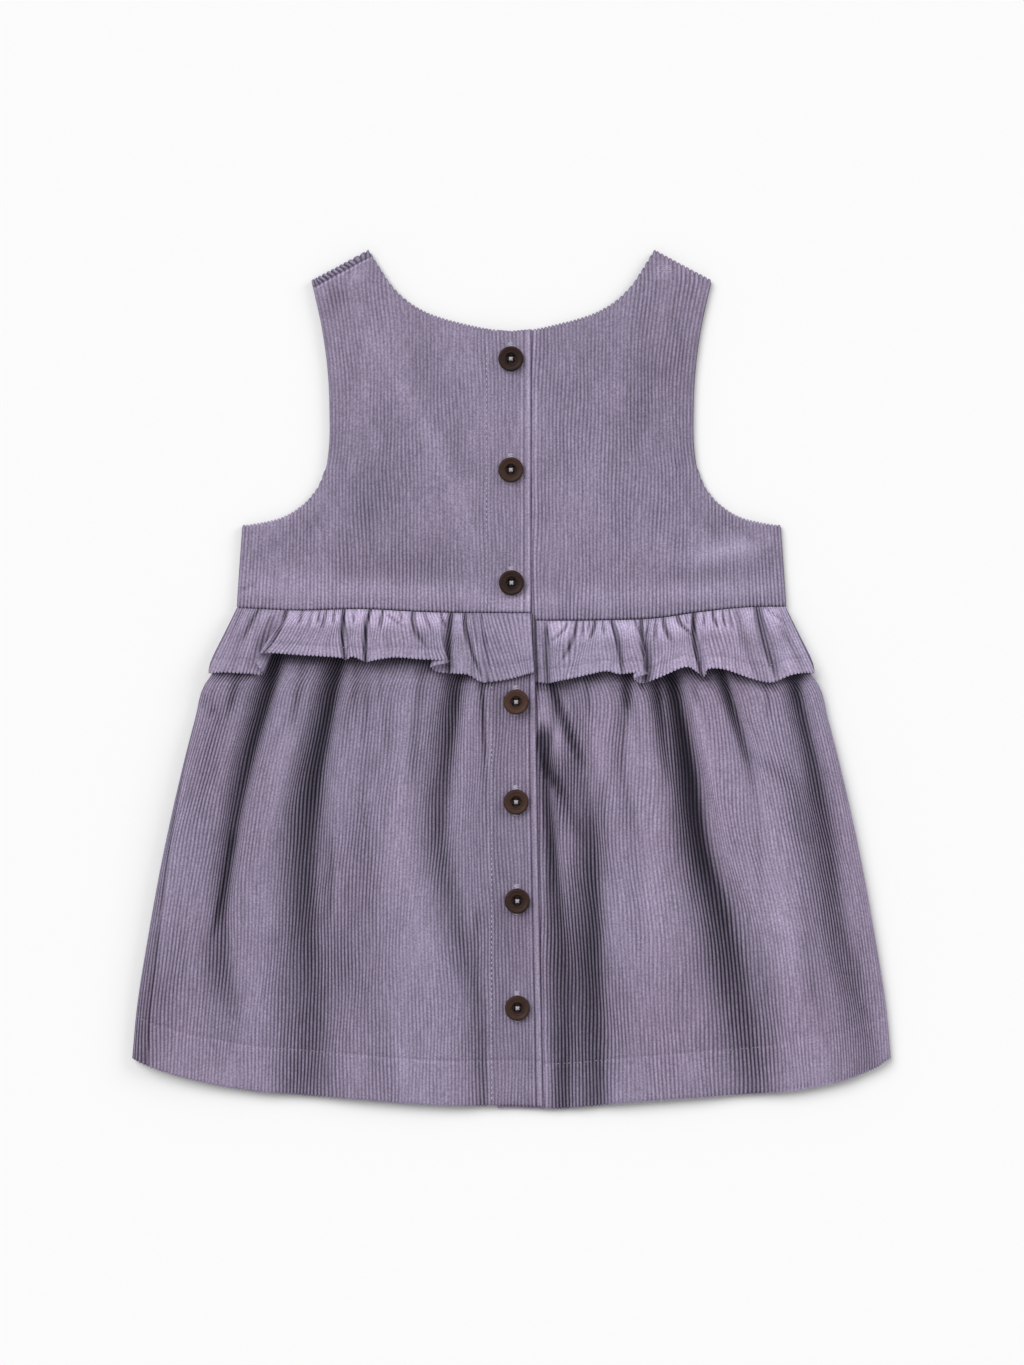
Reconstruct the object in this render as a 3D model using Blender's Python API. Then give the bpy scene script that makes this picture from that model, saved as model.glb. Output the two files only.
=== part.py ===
"""A small child's corduroy pinafore dress, lying flat with its buttoned back upwards.

Two layers of cloth lie on each other. The front of the dress is underneath, flat on the surface; the
back is on top, split down the middle, with its left half lapped over its right half and buttoned.
A frill is sewn into the waist seam all round, and the skirt is gathered under it.

Lengths in the tables and constants are in millimetres, and MM turns them into metres. +X is the
wearer's right, +Y the neck, +Z up. The origin is the centre of the dress on the surface it lies on.
"Out" is the distance from the middle line, x = 0, towards either side seam.
"""

import math

import bmesh
import bpy
import numpy as np

MM = 0.001

# Cloth.
CLOTH = 1.2  # corduroy, pile included
FRILL_CLOTH = 1.0
SEAM_GAP = 0.3  # clear space between pieces where they are sewn or lie on each other
LAYER = CLOTH + SEAM_GAP
FRILL_LAYER = FRILL_CLOTH + SEAM_GAP

# Bodice.
SHOULDER_OUT = 100.3  # outer end of the shoulder seam
SHOULDER_Y = 199.2
STRAP_INNER_OUT = 72.0  # inner end of the shoulder seam, at the neck
NECK_TOP_Y = 214.6
ARMHOLE_OUT = 93.0  # where the armhole turns from running up to running out
ARMHOLE_TURN_Y = 106.0
BODICE_SIDE_TOP_Y = 76.8
BODICE_SIDE_OUT = 137.5  # side seam at the waist
FRONT_NECK_DROP = 12.0  # how much lower the front neckline is in the middle

# Button fastening down the back.
LAP_EDGE_BODICE = 9.75  # x of the left half's folded edge on the bodice
LAP_EDGE_SKIRT = 11.7  # x of the same edge at the top of the skirt
LAP_EDGE_HEM = 15.8  # and at the hem
UNDERLAP = 7.0  # how far the right half runs past the middle line, under the left half
LAP_EDGE_BEND = 1.3  # the edge leans more towards the hem
LAP_START, LAP_FULL = -24.0, -12.0  # x between which the left half climbs on to the right half
LAP_CLEAR = 0.15  # more clear space between the two halves
LAP_BODICE_RISE = 1.5  # and more at the waist, over the right half's frill
LAP_SKIRT_RISE = 2.0
LAP_RISE_START, LAP_RISE_FULL = -30.0, -5.0  # y between which the skirt's lap climbs on to that frill

# Heights of outer surfaces above the surface that the dress lies on.
EDGE_HEIGHT = 2 * CLOTH + SEAM_GAP  # the back where it meets the front at a side seam
BODICE_REST = 0.4
BODICE_LOFT = 1.2
LOFT_START, LOFT_FULL = 8.0, 32.0  # distance out between which the bodice's loft builds up
NECK_ROUNDING_START = 2.0  # the neck edge is this far into its rounding
WAIST_RISE = 3.0  # the bodice climbs on to the seam allowances and the frill
WAIST_RISE_LENGTH = 12.0
SIDE_ROUNDING = 12.0  # width over which a side fold rounds off
MIDDLE_FOLD_SHARE = 0.05  # how much of the skirt's folds is left under the buttons
MIDDLE_OUT, FOLDS_OUT = 12.0, 26.0  # distance out between which the folds build up to their full height
FRONT_STEP_LOW, FRONT_STEP_HIGH = -14.0, 1.0  # y between which the front skirt climbs on to the front frill

# Skirt and hem.
SKIRT_TOP_Y = 36.0
WAIST_SHAPE_END = 20.0  # y above which the skirt's rows bend to the waist seam
HEM_SHAPE_START = -60.0  # y below which they bend to the hem
HEM_OUT = 190.0
HEM_MIDDLE_Y = -213.0
RIGHT_HEM_DROP = 1.5  # the right half hangs this much lower at the lap
RIGHT_DROP_START, RIGHT_DROP_FULL = 60.0, 15.0  # x between which it does so
FRONT_HEM_LIFT = 0.7
FRONT_FRILL_HEM_Y = 3.6

# Buttons.
BUTTON_RADIUS = 6.3
BUTTON_THICKNESS = 2.6
BUTTON_HOLE_RADIUS = 0.75
BUTTON_HOLE_SPREAD = 1.35  # from the button's centre to a hole's centre, along x and y
BUTTON_SIDES = 20


def table(columns, *rows):
    """The named columns as NumPy arrays, with one value a row."""
    return dict(zip(columns.split(), np.array(rows, float).T))


def curve(at, value):
    """A smooth function through the points (at, value), with at increasing and the ends held."""
    slope = np.gradient(value, at)

    def evaluate(q):
        q = np.clip(q, at[0], at[-1])
        k = np.clip(np.searchsorted(at, q, side="right") - 1, 0, len(at) - 2)
        step = at[k + 1] - at[k]
        t = (q - at[k]) / step
        rise = 3 * t**2 - 2 * t**3
        leave, arrive = t**3 - 2 * t**2 + t, t**3 - t**2
        return value[k] * (1 - rise) + value[k + 1] * rise + step * (slope[k] * leave + slope[k + 1] * arrive)

    return evaluate


def ease(q, start, end):
    """0 at start and 1 at end, with a smooth step between them."""
    t = np.clip((q - start) / (end - start), 0, 1)
    return t * t * (3 - 2 * t)


def rounded(inward, width):
    """A quarter-round rise from 0 at an edge to 1 at width inside it."""
    return np.sqrt(1 - (1 - np.clip(inward / width, 0, 1)) ** 2)


# The bodice's edges, the same on both sides.
ARMHOLE = table(
    "y out",
    (76.8, 134.9),
    (78.3, 126.0),
    (80.6, 116.5),
    (85.2, 107.5),
    (91.2, 100.6),
    (98.0, 96.0),
    (106.0, 93.0),
    (116.0, 91.6),
    (135.0, 91.3),
    (155.0, 92.3),
    (175.0, 95.0),
    (199.2, 100.3),
)
NECK = table(
    "out y",
    (0.0, 173.8),
    (10.0, 174.8),
    (22.0, 177.2),
    (34.0, 180.3),
    (44.0, 183.9),
    (52.0, 188.6),
    (59.0, 195.6),
    (65.0, 204.0),
    (72.0, 214.6),
)
BODICE_SIDE = table("y out", (28.0, 138.2), (50.0, 136.8), (76.8, 134.9))
LEFT_WAIST = table("x y", (-137.5, 35.8), (-105.0, 34.5), (-78.0, 35.2), (-40.0, 33.6), (14.0, 33.0))
RIGHT_WAIST = table(
    "x y",
    (-8.0, 29.6),
    (45.0, 29.6),
    (72.0, 30.6),
    (95.0, 33.8),
    (120.0, 36.2),
    (137.5, 36.4),
)

# The frill's and the skirt's side edges. The skirt's edge is inside the frill's as far as the frill reaches.
FRILL_SIDE = table(
    "y out",
    (3.0, 152.0),
    (7.5, 151.2),
    (11.5, 149.6),
    (19.5, 145.6),
    (27.5, 141.6),
    (36.5, 137.2),
)
SKIRT_SIDE = table(
    "y out",
    (-189.6, 190.0),
    (-165.0, 187.7),
    (-130.0, 182.2),
    (-90.0, 174.9),
    (-50.0, 166.1),
    (-20.0, 158.5),
    (-2.0, 153.2),
    (3.0, 149.6),
    (12.0, 146.8),
    (22.0, 141.8),
    (36.5, 134.6),
)
HEM = table(
    "out y",
    (0.0, -213.0),
    (20.0, -213.6),
    (45.0, -212.8),
    (75.0, -210.4),
    (105.0, -208.0),
    (128.0, -206.2),
    (150.0, -202.4),
    (170.0, -197.6),
    (182.0, -193.6),
    (190.0, -189.6),
)

# The heights across which a skirt is divided. Two are close together where it is sewn to the bodice, and
# others where it steps down off the front frill.
SKIRT_ROWS = np.array(
    [SKIRT_TOP_Y, 34.0, 20.0, 2.0, -5.0, -14.0, -30.0, -52.0, -78.0, -106.0, -134.0, -162.0, -188.0, -213.0]
)

# How high the skirt's folds stand from the waist down to the hem.
SKIRT_CREST = table(
    "y height",
    (-213.0, 3.0),
    (-170.0, 5.4),
    (-110.0, 7.2),
    (-40.0, 7.6),
    (0.0, 5.4),
    (20.0, 1.8),
    (36.0, 0.2),
)

# The valleys between the skirt's folds. x is the valley's floor, width its half-width and depth its
# strength, each at six heights from the hem up to the frill.
VALLEY_Y = np.array([-198.0, -160.0, -120.0, -80.0, -45.0, -10.0])
LEFT_VALLEYS = {
    "side": table(
        "x width depth",
        (-136.0, 10.0, 0.25),
        (-141.8, 9.0, 0.45),
        (-144.6, 5.0, 0.8),
        (-139.4, 4.0, 1.3),
        (-132.6, 4.3, 1.9),
        (-122.6, 4.6, 2.4),
    ),
    "second": table(
        "x width depth",
        (-100.0, 18.0, 0.7),
        (-101.5, 17.0, 0.9),
        (-103.8, 12.0, 1.3),
        (-102.4, 9.3, 1.8),
        (-97.6, 6.8, 2.6),
        (-90.4, 4.8, 2.6),
    ),
    "between": table(
        "x width depth",
        (-70.0, 12.0, 0.0),
        (-72.0, 12.0, 0.0),
        (-74.0, 12.0, 0.1),
        (-74.0, 10.0, 0.1),
        (-74.0, 8.0, 0.2),
        (-74.0, 6.0, 0.4),
    ),
    "third": table(
        "x width depth",
        (-14.0, 5.0, 0.3),
        (-18.0, 7.0, 0.5),
        (-29.0, 11.0, 0.6),
        (-36.0, 8.5, 1.0),
        (-33.4, 6.5, 1.3),
        (-28.4, 4.8, 1.8),
    ),
}
RIGHT_VALLEYS = {
    "lap": table(
        "x width depth",
        (26.0, 6.0, 1.2),
        (26.0, 8.0, 1.3),
        (23.4, 5.5, 1.4),
        (19.8, 3.6, 1.3),
        (17.0, 3.0, 1.4),
        (23.0, 4.0, 1.8),
    ),
    "far lap": table(
        "x width depth",
        (42.0, 9.0, 0.7),
        (40.0, 11.0, 0.9),
        (40.4, 8.0, 1.0),
        (39.6, 6.0, 1.0),
        (34.0, 7.0, 0.8),
        (30.0, 5.0, 0.5),
    ),
    "middle": table(
        "x width depth",
        (68.0, 8.0, 0.0),
        (67.0, 8.0, 0.0),
        (64.0, 8.0, 0.1),
        (61.0, 6.0, 0.2),
        (55.0, 3.5, 0.35),
        (57.6, 3.4, 0.5),
    ),
    "main": table(
        "x width depth",
        (119.0, 15.0, 0.7),
        (112.5, 14.0, 0.9),
        (104.3, 10.0, 1.5),
        (93.4, 7.2, 2.3),
        (88.4, 6.2, 2.8),
        (82.0, 4.4, 2.4),
    ),
    "short": table(
        "x width depth",
        (124.0, 8.0, 0.0),
        (124.0, 8.0, 0.0),
        (124.0, 7.0, 0.0),
        (123.0, 5.0, 0.15),
        (119.0, 3.2, 0.6),
        (109.0, 2.7, 1.4),
    ),
    "side": table(
        "x width depth",
        (180.0, 10.0, 0.4),
        (172.0, 11.0, 0.6),
        (162.0, 9.0, 0.8),
        (157.0, 7.4, 1.0),
        (151.0, 5.4, 1.3),
        (143.0, 4.2, 1.9),
    ),
}
VALLEY_LEFT_REACH, VALLEY_RIGHT_REACH = 1.15, 0.85  # a valley falls gently on its left, steeply on its right

# The frill's flutes, one row for each crest, crease or turn. lift is the height above the cloth that the
# frill lies on, at its hem. Where hem_x runs back, the frill folds over on itself.
LEFT_FLUTES = table(
    "waist_x hem_x hem_y lift",
    (-136.9, -151.9, 3.2, 0.0),  # folded edge at the side seam
    (-134.4, -148.8, 3.2, 0.2),
    (-131.0, -143.0, 3.4, 0.9),
    (-126.5, -135.5, 3.0, 0.5),
    (-120.5, -130.0, 2.8, 1.2),
    (-113.5, -124.0, 2.6, 0.6),
    (-110.2, -126.6, 9.0, 3.6),  # turns up
    (-107.0, -123.6, 13.0, 7.2),  # left edge of the wide flute
    (-96.0, -105.0, 12.0, 7.2),
    (-86.2, -85.8, 10.8, 6.4),
    (-83.6, -82.4, 9.6, 4.4),  # slit
    (-81.0, -79.4, 11.2, 6.0),
    (-74.4, -74.8, 9.6, 6.0),
    (-71.9, -72.0, 8.6, 4.2),  # slit
    (-69.2, -69.2, 9.2, 6.6),
    (-58.0, -58.2, 10.8, 7.2),
    (-47.6, -45.8, 10.0, 7.4),
    (-37.6, -31.0, 9.0, 7.4),  # right edge of the long flute, folded back under itself
    (-33.8, -39.4, 6.6, 4.1),
    (-30.0, -36.6, 3.6, 0.8),
    (-26.2, -27.0, 2.8, 2.4),
    (-22.6, -21.6, 2.2, 1.7),
    (-19.4, -16.4, -0.8, 0.3),
    (-14.6, -13.0, -1.5, 0.6),
    (-3.2, -1.6, 0.0, 0.5),
    (9.3, 11.3, 3.6, 0.3),
)
RIGHT_FLUTES = table(
    "waist_x hem_x hem_y lift",
    (5.0, 5.5, -1.4, 0.0),  # under the left half
    (12.4, 13.4, -1.5, 0.0),
    (16.2, 17.8, -2.0, 0.3),
    (20.8, 21.6, -1.2, 2.8),
    (27.2, 25.6, -0.4, 3.6),
    (32.6, 29.0, 0.2, 2.6),
    (39.2, 37.0, 2.0, 4.6),
    (46.6, 47.0, 4.0, 4.8),
    (50.4, 53.6, 2.6, 2.8),
    (56.2, 60.4, 3.2, 5.6),
    (62.4, 67.4, 3.2, 7.2),  # folded back under itself
    (65.4, 61.4, 0.8, 4.0),
    (68.4, 64.6, -2.0, 0.8),
    (74.0, 72.4, 0.4, 3.4),
    (83.6, 86.0, 6.0, 7.4),
    (88.6, 91.6, 4.0, 6.2),
    (91.0, 95.6, 1.2, 3.6),  # slit
    (93.6, 97.6, 5.0, 6.6),
    (101.0, 105.4, 5.0, 6.6),
    (109.2, 114.4, 2.0, 4.6),
    (116.4, 122.8, -0.6, 2.6),
    (122.6, 130.2, -1.5, 0.5),
    (128.0, 138.8, 2.0, 2.8),
    (132.4, 145.6, 3.2, 1.2),
    (134.6, 149.2, 3.2, 0.3),
    (136.9, 151.9, 3.2, 0.0),  # folded edge at the side seam
)
FRILL_ROWS = np.array([0.0, 0.05, 0.25, 0.45, 0.7, 1.0])  # where a frill is divided, from waist seam to hem
FRILL_WAIST_SHARE = 0.1  # how much of a flute's lift is left at the waist seam
FRILL_LIFT_START, FRILL_LIFT_LENGTH = 0.05, 0.6  # share of the way down at which it grows, and over which
FRILL_EASE = 0.35  # more clear space under the frill, which stands off the skirt
FRILL_WRAP = 1.8  # how far past the skirt's edge the frill turns down
FRILL_TURN_DOWN = 3.0

BUTTONS = table(
    "x y",
    (-0.3, 160.0),
    (-0.3, 104.5),
    (0.0, 48.0),
    (2.3, -11.5),
    (2.3, -61.5),
    (2.9, -111.0),
    (3.0, -164.5),
)
# Half of a button's section, from its rim inwards: the rim, the raised ring and the dish with the holes.
BUTTON_SECTION = table(
    "radius height",
    (0.0, 0.0),
    (5.3, 0.0),
    (6.3, 0.9),
    (6.3, 1.7),
    (5.4, 2.6),
    (4.0, 2.5),
    (3.0, 1.7),
    (0.0, 1.6),
)

armhole_out = curve(ARMHOLE["y"], ARMHOLE["out"])
armhole_y = curve(ARMHOLE["out"][6::-1], ARMHOLE["y"][6::-1])  # its lower half, from the turn out to the side
neck_y = curve(NECK["out"], NECK["y"])
bodice_side_out = curve(BODICE_SIDE["y"], BODICE_SIDE["out"])
waist_y = {-1: curve(LEFT_WAIST["x"], LEFT_WAIST["y"]), 1: curve(RIGHT_WAIST["x"], RIGHT_WAIST["y"])}
frill_side_out = curve(FRILL_SIDE["y"], FRILL_SIDE["out"])
skirt_side_out = curve(SKIRT_SIDE["y"], SKIRT_SIDE["out"])
hem_y = curve(HEM["out"], HEM["y"])
skirt_crest = curve(SKIRT_CREST["y"], SKIRT_CREST["height"])


def top_y(out):
    """The shoulder seam's and neckline's y at a distance out from the middle line."""
    along = np.clip((out - STRAP_INNER_OUT) / (SHOULDER_OUT - STRAP_INNER_OUT), 0, 1)
    shoulder = NECK_TOP_Y + (SHOULDER_Y - NECK_TOP_Y) * along
    return np.where(out > STRAP_INNER_OUT, shoulder, neck_y(out))


def bodice_edge_out(y):
    """How far out the bodice reaches at a height y: the side seam, and above it the armhole."""
    return np.where(y < BODICE_SIDE_TOP_Y, bodice_side_out(y), armhole_out(y))


def lap_share(x):
    """1 where the left half lies on the right half, and 0 away from the lap."""
    return ease(x, LAP_START, LAP_FULL)


def bodice_height(x, y, side):
    """Outer surface of the back bodice: a low loft, rounded off at its edges and rising to the waist seam."""
    out = np.abs(x)
    inward = np.minimum(bodice_edge_out(y) - out, top_y(out) - y + NECK_ROUNDING_START)
    near_waist = np.exp(-(((y - waist_y[side](x)) / WAIST_RISE_LENGTH) ** 2))
    loft = BODICE_LOFT * ease(out, LOFT_START, LOFT_FULL) * (1 - near_waist) + WAIST_RISE * near_waist
    height = EDGE_HEIGHT + rounded(inward, SIDE_ROUNDING) * (BODICE_REST + loft)
    if side < 0:
        height += lap_share(x) * (LAYER + LAP_CLEAR + LAP_BODICE_RISE * near_waist)
    return height


def valley_depth(x, y, valleys):
    """How strongly the valleys press the skirt down at (x, y)."""
    total = np.zeros(np.broadcast(x, y).shape)
    for valley in valleys.values():
        floor = curve(VALLEY_Y, valley["x"])(y)
        width = curve(VALLEY_Y, valley["width"])(y)
        depth = np.maximum(curve(VALLEY_Y, valley["depth"])(y), 0)
        off = (x - floor) / width
        reach = np.where(off < 0, VALLEY_LEFT_REACH, VALLEY_RIGHT_REACH)
        total += depth * np.exp(-((off / reach) ** 2))
    return total


def front_skirt_underside(y):
    """The front skirt lies on the front frill, and below the frill's hem on the surface."""
    return LAYER * ease(y, FRONT_STEP_LOW, FRONT_STEP_HIGH)


def skirt_rest(y):
    """Outer surface of the back skirt where it lies flat on the front skirt."""
    return front_skirt_underside(y) + LAYER + CLOTH


def skirt_envelope(x, y, inward):
    """The height of the skirt's folds if there were no valleys between them."""
    share = MIDDLE_FOLD_SHARE + (1 - MIDDLE_FOLD_SHARE) * ease(np.abs(x), MIDDLE_OUT, FOLDS_OUT)
    return skirt_crest(y) * share * rounded(inward, SIDE_ROUNDING)


def skirt_lap(x, y, side):
    """What the left half climbs at the lap: over the right skirt and, at the waist, the right frill too."""
    if side > 0:
        return 0.0
    return lap_share(x) * (LAYER + LAP_CLEAR + LAP_SKIRT_RISE * ease(y, LAP_RISE_START, LAP_RISE_FULL))


def skirt_height(x, y, side):
    """Outer surface of the back skirt: folds with valleys between them."""
    envelope = skirt_envelope(x, y, skirt_side_out(y) - np.abs(x))
    valleys = LEFT_VALLEYS if side < 0 else RIGHT_VALLEYS
    return skirt_rest(y) + envelope * np.exp(-valley_depth(x, y, valleys)) + skirt_lap(x, y, side)


def frill_bed(x, y, side):
    """The lowest the frill's outer surface can lie: over the skirt's folds, and turned down past its edge."""
    inward = frill_side_out(y) - np.abs(x)
    over = skirt_rest(y) + FRILL_LAYER + FRILL_EASE + skirt_envelope(x, y, inward) + skirt_lap(x, y, side)
    past = np.clip(1 - inward / FRILL_WRAP, 0, 1)
    return over - FRILL_TURN_DOWN * (1 - np.sqrt(1 - past**2))


def plain_material(name, colour, roughness):
    """A plain finish with no metal in it."""
    material = bpy.data.materials.new(name)
    material.use_nodes = True
    shader = material.node_tree.nodes["Principled BSDF"]
    shader.inputs["Base Color"].default_value = (*colour, 1)
    shader.inputs["Roughness"].default_value = roughness
    shader.inputs["Metallic"].default_value = 0.0
    return material


def add_object(name, points, faces, material):
    """A named object from points in millimetres."""
    mesh = bpy.data.meshes.new(name)
    mesh.from_pydata((np.asarray(points) * MM).tolist(), [], faces)
    mesh.materials.append(material)
    obj = bpy.data.objects.new(name, mesh)
    bpy.context.scene.collection.objects.link(obj)
    return obj


def grid_faces(rows, columns, first, clockwise):
    """The quads of a grid of points stored row by row from index first."""
    faces = []
    for r in range(rows - 1):
        for c in range(columns - 1):
            a = first + r * columns + c
            quad = (a, a + 1, a + columns + 1, a + columns)
            faces.append(quad[::-1] if clockwise else quad)
    return faces


def cloth_panel(name, blocks, thickness, material, clockwise=False):
    """A wall of cloth under grids of outer points, each (rows, columns, 3), welded where they meet."""
    points, faces = [], []
    for block in blocks:
        rows, columns, _ = block.shape
        faces += grid_faces(rows, columns, len(points), clockwise)
        points += block.reshape(-1, 3).tolist()
    panel = add_object(name, points, faces, material)
    shape = bmesh.new()
    shape.from_mesh(panel.data)
    bmesh.ops.remove_doubles(shape, verts=shape.verts, dist=0.01 * MM)
    shape.to_mesh(panel.data)
    shape.free()
    panel.data.shade_smooth()
    wall = panel.modifiers.new("wall", "SOLIDIFY")
    wall.thickness = thickness * MM
    wall.offset = -1
    return panel


def stations(*stops_and_counts):
    """Values from stop to stop, given as stop, count, stop ... stop, with count steps between two stops."""
    stops, counts = stops_and_counts[::2], stops_and_counts[1::2]
    parts = [np.linspace(a, b, n + 1)[:-1] for a, b, n in zip(stops, stops[1:], counts)]
    return np.append(np.concatenate(parts), stops[-1])


WAIST_ROW_SHARE = 0.025  # an extra row of the bodice this share of the way up from the waist
TOP_PASSES = 4


def bodice_plan(side, middle_edge, waist, top, side_columns, strap_columns, neck_columns, rows):
    """Plan points (x, y) of half a bodice in two grids: waist to armhole turn, and armhole turn to neck.

    Columns run up the cloth from the side seam to middle_edge, leaning out with the armhole above its turn.
    """
    out_at_top = stations(SHOULDER_OUT, strap_columns, STRAP_INNER_OUT, neck_columns, middle_edge)
    lean = (np.maximum(out_at_top, 0) / SHOULDER_OUT) ** 2
    out_at_turn = out_at_top - lean * (SHOULDER_OUT - ARMHOLE_OUT)
    beyond = stations(BODICE_SIDE_OUT, side_columns, ARMHOLE_OUT)[:-1]
    low_out = np.concatenate([beyond, out_at_turn])
    on_armhole = armhole_y(np.minimum(low_out, ARMHOLE["out"][0]))
    low_top = np.where(low_out > ARMHOLE_OUT, on_armhole, ARMHOLE_TURN_Y)
    share = np.insert(np.linspace(0, 1, rows[0] + 1), 1, WAIST_ROW_SHARE)[:, None]
    low_y = waist(side * low_out) + (low_top - waist(side * low_out)) * share
    seam_lean = ease(low_out, ARMHOLE_OUT, BODICE_SIDE_OUT)
    low_x = low_out + seam_lean * (bodice_side_out(low_y) - BODICE_SIDE_OUT)
    share = np.linspace(0, 1, rows[1] + 1)[:, None]
    high_top = top(out_at_top)
    for _ in range(TOP_PASSES):  # a column's lean moves its top, which moves where it meets the neckline
        high_top = top(out_at_turn + lean * (armhole_out(np.minimum(high_top, SHOULDER_Y)) - ARMHOLE_OUT))
    high_y = ARMHOLE_TURN_Y + (high_top - ARMHOLE_TURN_Y) * share
    high_x = out_at_turn + lean * (armhole_out(high_y) - ARMHOLE_OUT)
    return [(side * low_x, low_y), (side * high_x, high_y)]


def make_back_bodice(name, side, middle_edge, material):
    """Half of the buttoned back bodice."""
    plan = bodice_plan(side, middle_edge, waist_y[side], top_y, 7, 5, 11, (6, 9))
    blocks = [np.dstack([x, y, bodice_height(x, y, side)]) for x, y in plan]
    return cloth_panel(name, blocks, CLOTH, material, clockwise=side > 0)


def make_front_bodice(material):
    """The whole front bodice, flat on the surface, with a lower neckline than the back's."""

    def front_top(out):
        drop = FRONT_NECK_DROP * (1 - np.clip(out / STRAP_INNER_OUT, 0, 1) ** 2)
        return top_y(out) - drop

    def front_waist(x):
        return waist_y[-1](-np.abs(x)) + SEAM_GAP

    blocks = []
    for side in (-1, 1):
        plan = bodice_plan(side, 0.0, front_waist, front_top, 6, 4, 8, (2, 6))
        blocks += [np.dstack([x, y, np.zeros_like(x)])[:, ::side] for x, y in plan]
    return cloth_panel("front_bodice", blocks, CLOTH, material, clockwise=False)


def skirt_plan(side, middle_edge, waist, hem, columns):
    """Plan points (x, y) of a skirt panel from middle_edge(y) out to the side, fanning towards the hem."""
    share_out = np.linspace(0, 1, columns + 1)
    rows = SKIRT_ROWS[:, None]
    waist_x = side * skirt_side_out(SKIRT_TOP_Y) * share_out + middle_edge(SKIRT_TOP_Y) * (1 - share_out)
    hem_x = side * HEM_OUT * share_out + middle_edge(HEM_MIDDLE_Y) * (1 - share_out)
    to_waist = (waist(waist_x) - SEAM_GAP - SKIRT_TOP_Y) * ease(rows, WAIST_SHAPE_END, SKIRT_ROWS[1])
    to_hem = (hem(hem_x) - HEM_MIDDLE_Y) * ease(rows, HEM_SHAPE_START, HEM_MIDDLE_Y)
    y = rows + to_waist + to_hem
    return side * skirt_side_out(y) * share_out + middle_edge(y) * (1 - share_out), y


def left_skirt_edge(y):
    """The left half's folded edge, which leans towards the hem."""
    down = np.clip((SKIRT_TOP_Y - y) / (SKIRT_TOP_Y - HEM_MIDDLE_Y), 0, 1)
    return LAP_EDGE_SKIRT + (LAP_EDGE_HEM - LAP_EDGE_SKIRT) * down**LAP_EDGE_BEND


def left_hem_y(x):
    """The hem of the back's left half."""
    return hem_y(np.abs(x))


def right_hem_y(x):
    """The hem of the back's right half, lower at the lap."""
    return hem_y(np.abs(x)) - RIGHT_HEM_DROP * ease(x, RIGHT_DROP_START, RIGHT_DROP_FULL)


def make_back_skirt(name, side, middle_edge, hem, material):
    """Half of the gathered back skirt."""
    x, y = skirt_plan(side, middle_edge, waist_y[side], hem, 44)
    block = np.dstack([x, y, skirt_height(x, y, side)])
    return cloth_panel(name, [block], CLOTH, material, clockwise=side > 0)


def make_front_skirt(material):
    """The front skirt, which lies on the front frill and then on the surface."""
    halves = []
    for side in (-1, 1):
        x, y = skirt_plan(
            side,
            lambda y: np.zeros_like(y),
            lambda x: waist_y[-1](-np.abs(x)),
            lambda x: hem_y(np.abs(x)) + FRONT_HEM_LIFT,
            8,
        )
        halves.append(np.dstack([x, y, front_skirt_underside(y)])[:, ::side])
    return cloth_panel("front_skirt", halves, CLOTH, material, clockwise=False)


def frill_surface(flutes, side, columns_a_row):
    """Outer points of a frill: each flute runs from waist seam to hem, and its lift grows on the way."""
    last = len(flutes["lift"]) - 1
    s = np.linspace(0, last, last * columns_a_row + 1)
    index = np.arange(last + 1.0)
    waist_x, hem_x, hem_at, lift = (curve(index, flutes[k])(s) for k in ("waist_x", "hem_x", "hem_y", "lift"))
    t = FRILL_ROWS[:, None]
    x = waist_x + (hem_x - waist_x) * t
    seam = waist_y[side](waist_x) - SEAM_GAP
    y = seam + (hem_at - seam) * t
    grown = np.clip((t - FRILL_LIFT_START) / FRILL_LIFT_LENGTH, 0, 1)
    growth = FRILL_WAIST_SHARE + (1 - FRILL_WAIST_SHARE) * np.sin(grown * math.pi / 2)
    return np.dstack([x, y, frill_bed(x, y, side) + np.maximum(lift, 0) * growth])


def make_back_frill(name, flutes, side, material):
    """Half of the frill on the back, in flutes."""
    return cloth_panel(name, [frill_surface(flutes, side, 3)], FRILL_CLOTH, material, clockwise=True)


def make_front_frill(material):
    """The frill on the front, pressed flat under the front skirt."""
    share = np.linspace(-1, 1, 25)
    t = np.linspace(0, 1, 4)[:, None]
    seam = waist_y[-1](-np.abs(share) * BODICE_SIDE_OUT) - SEAM_GAP
    y = seam + (FRONT_FRILL_HEM_Y - seam) * t
    block = np.dstack([frill_side_out(y) * share, y, np.zeros_like(y * share)])
    return cloth_panel("front_frill", [block], CLOTH, material, clockwise=False)


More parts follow.
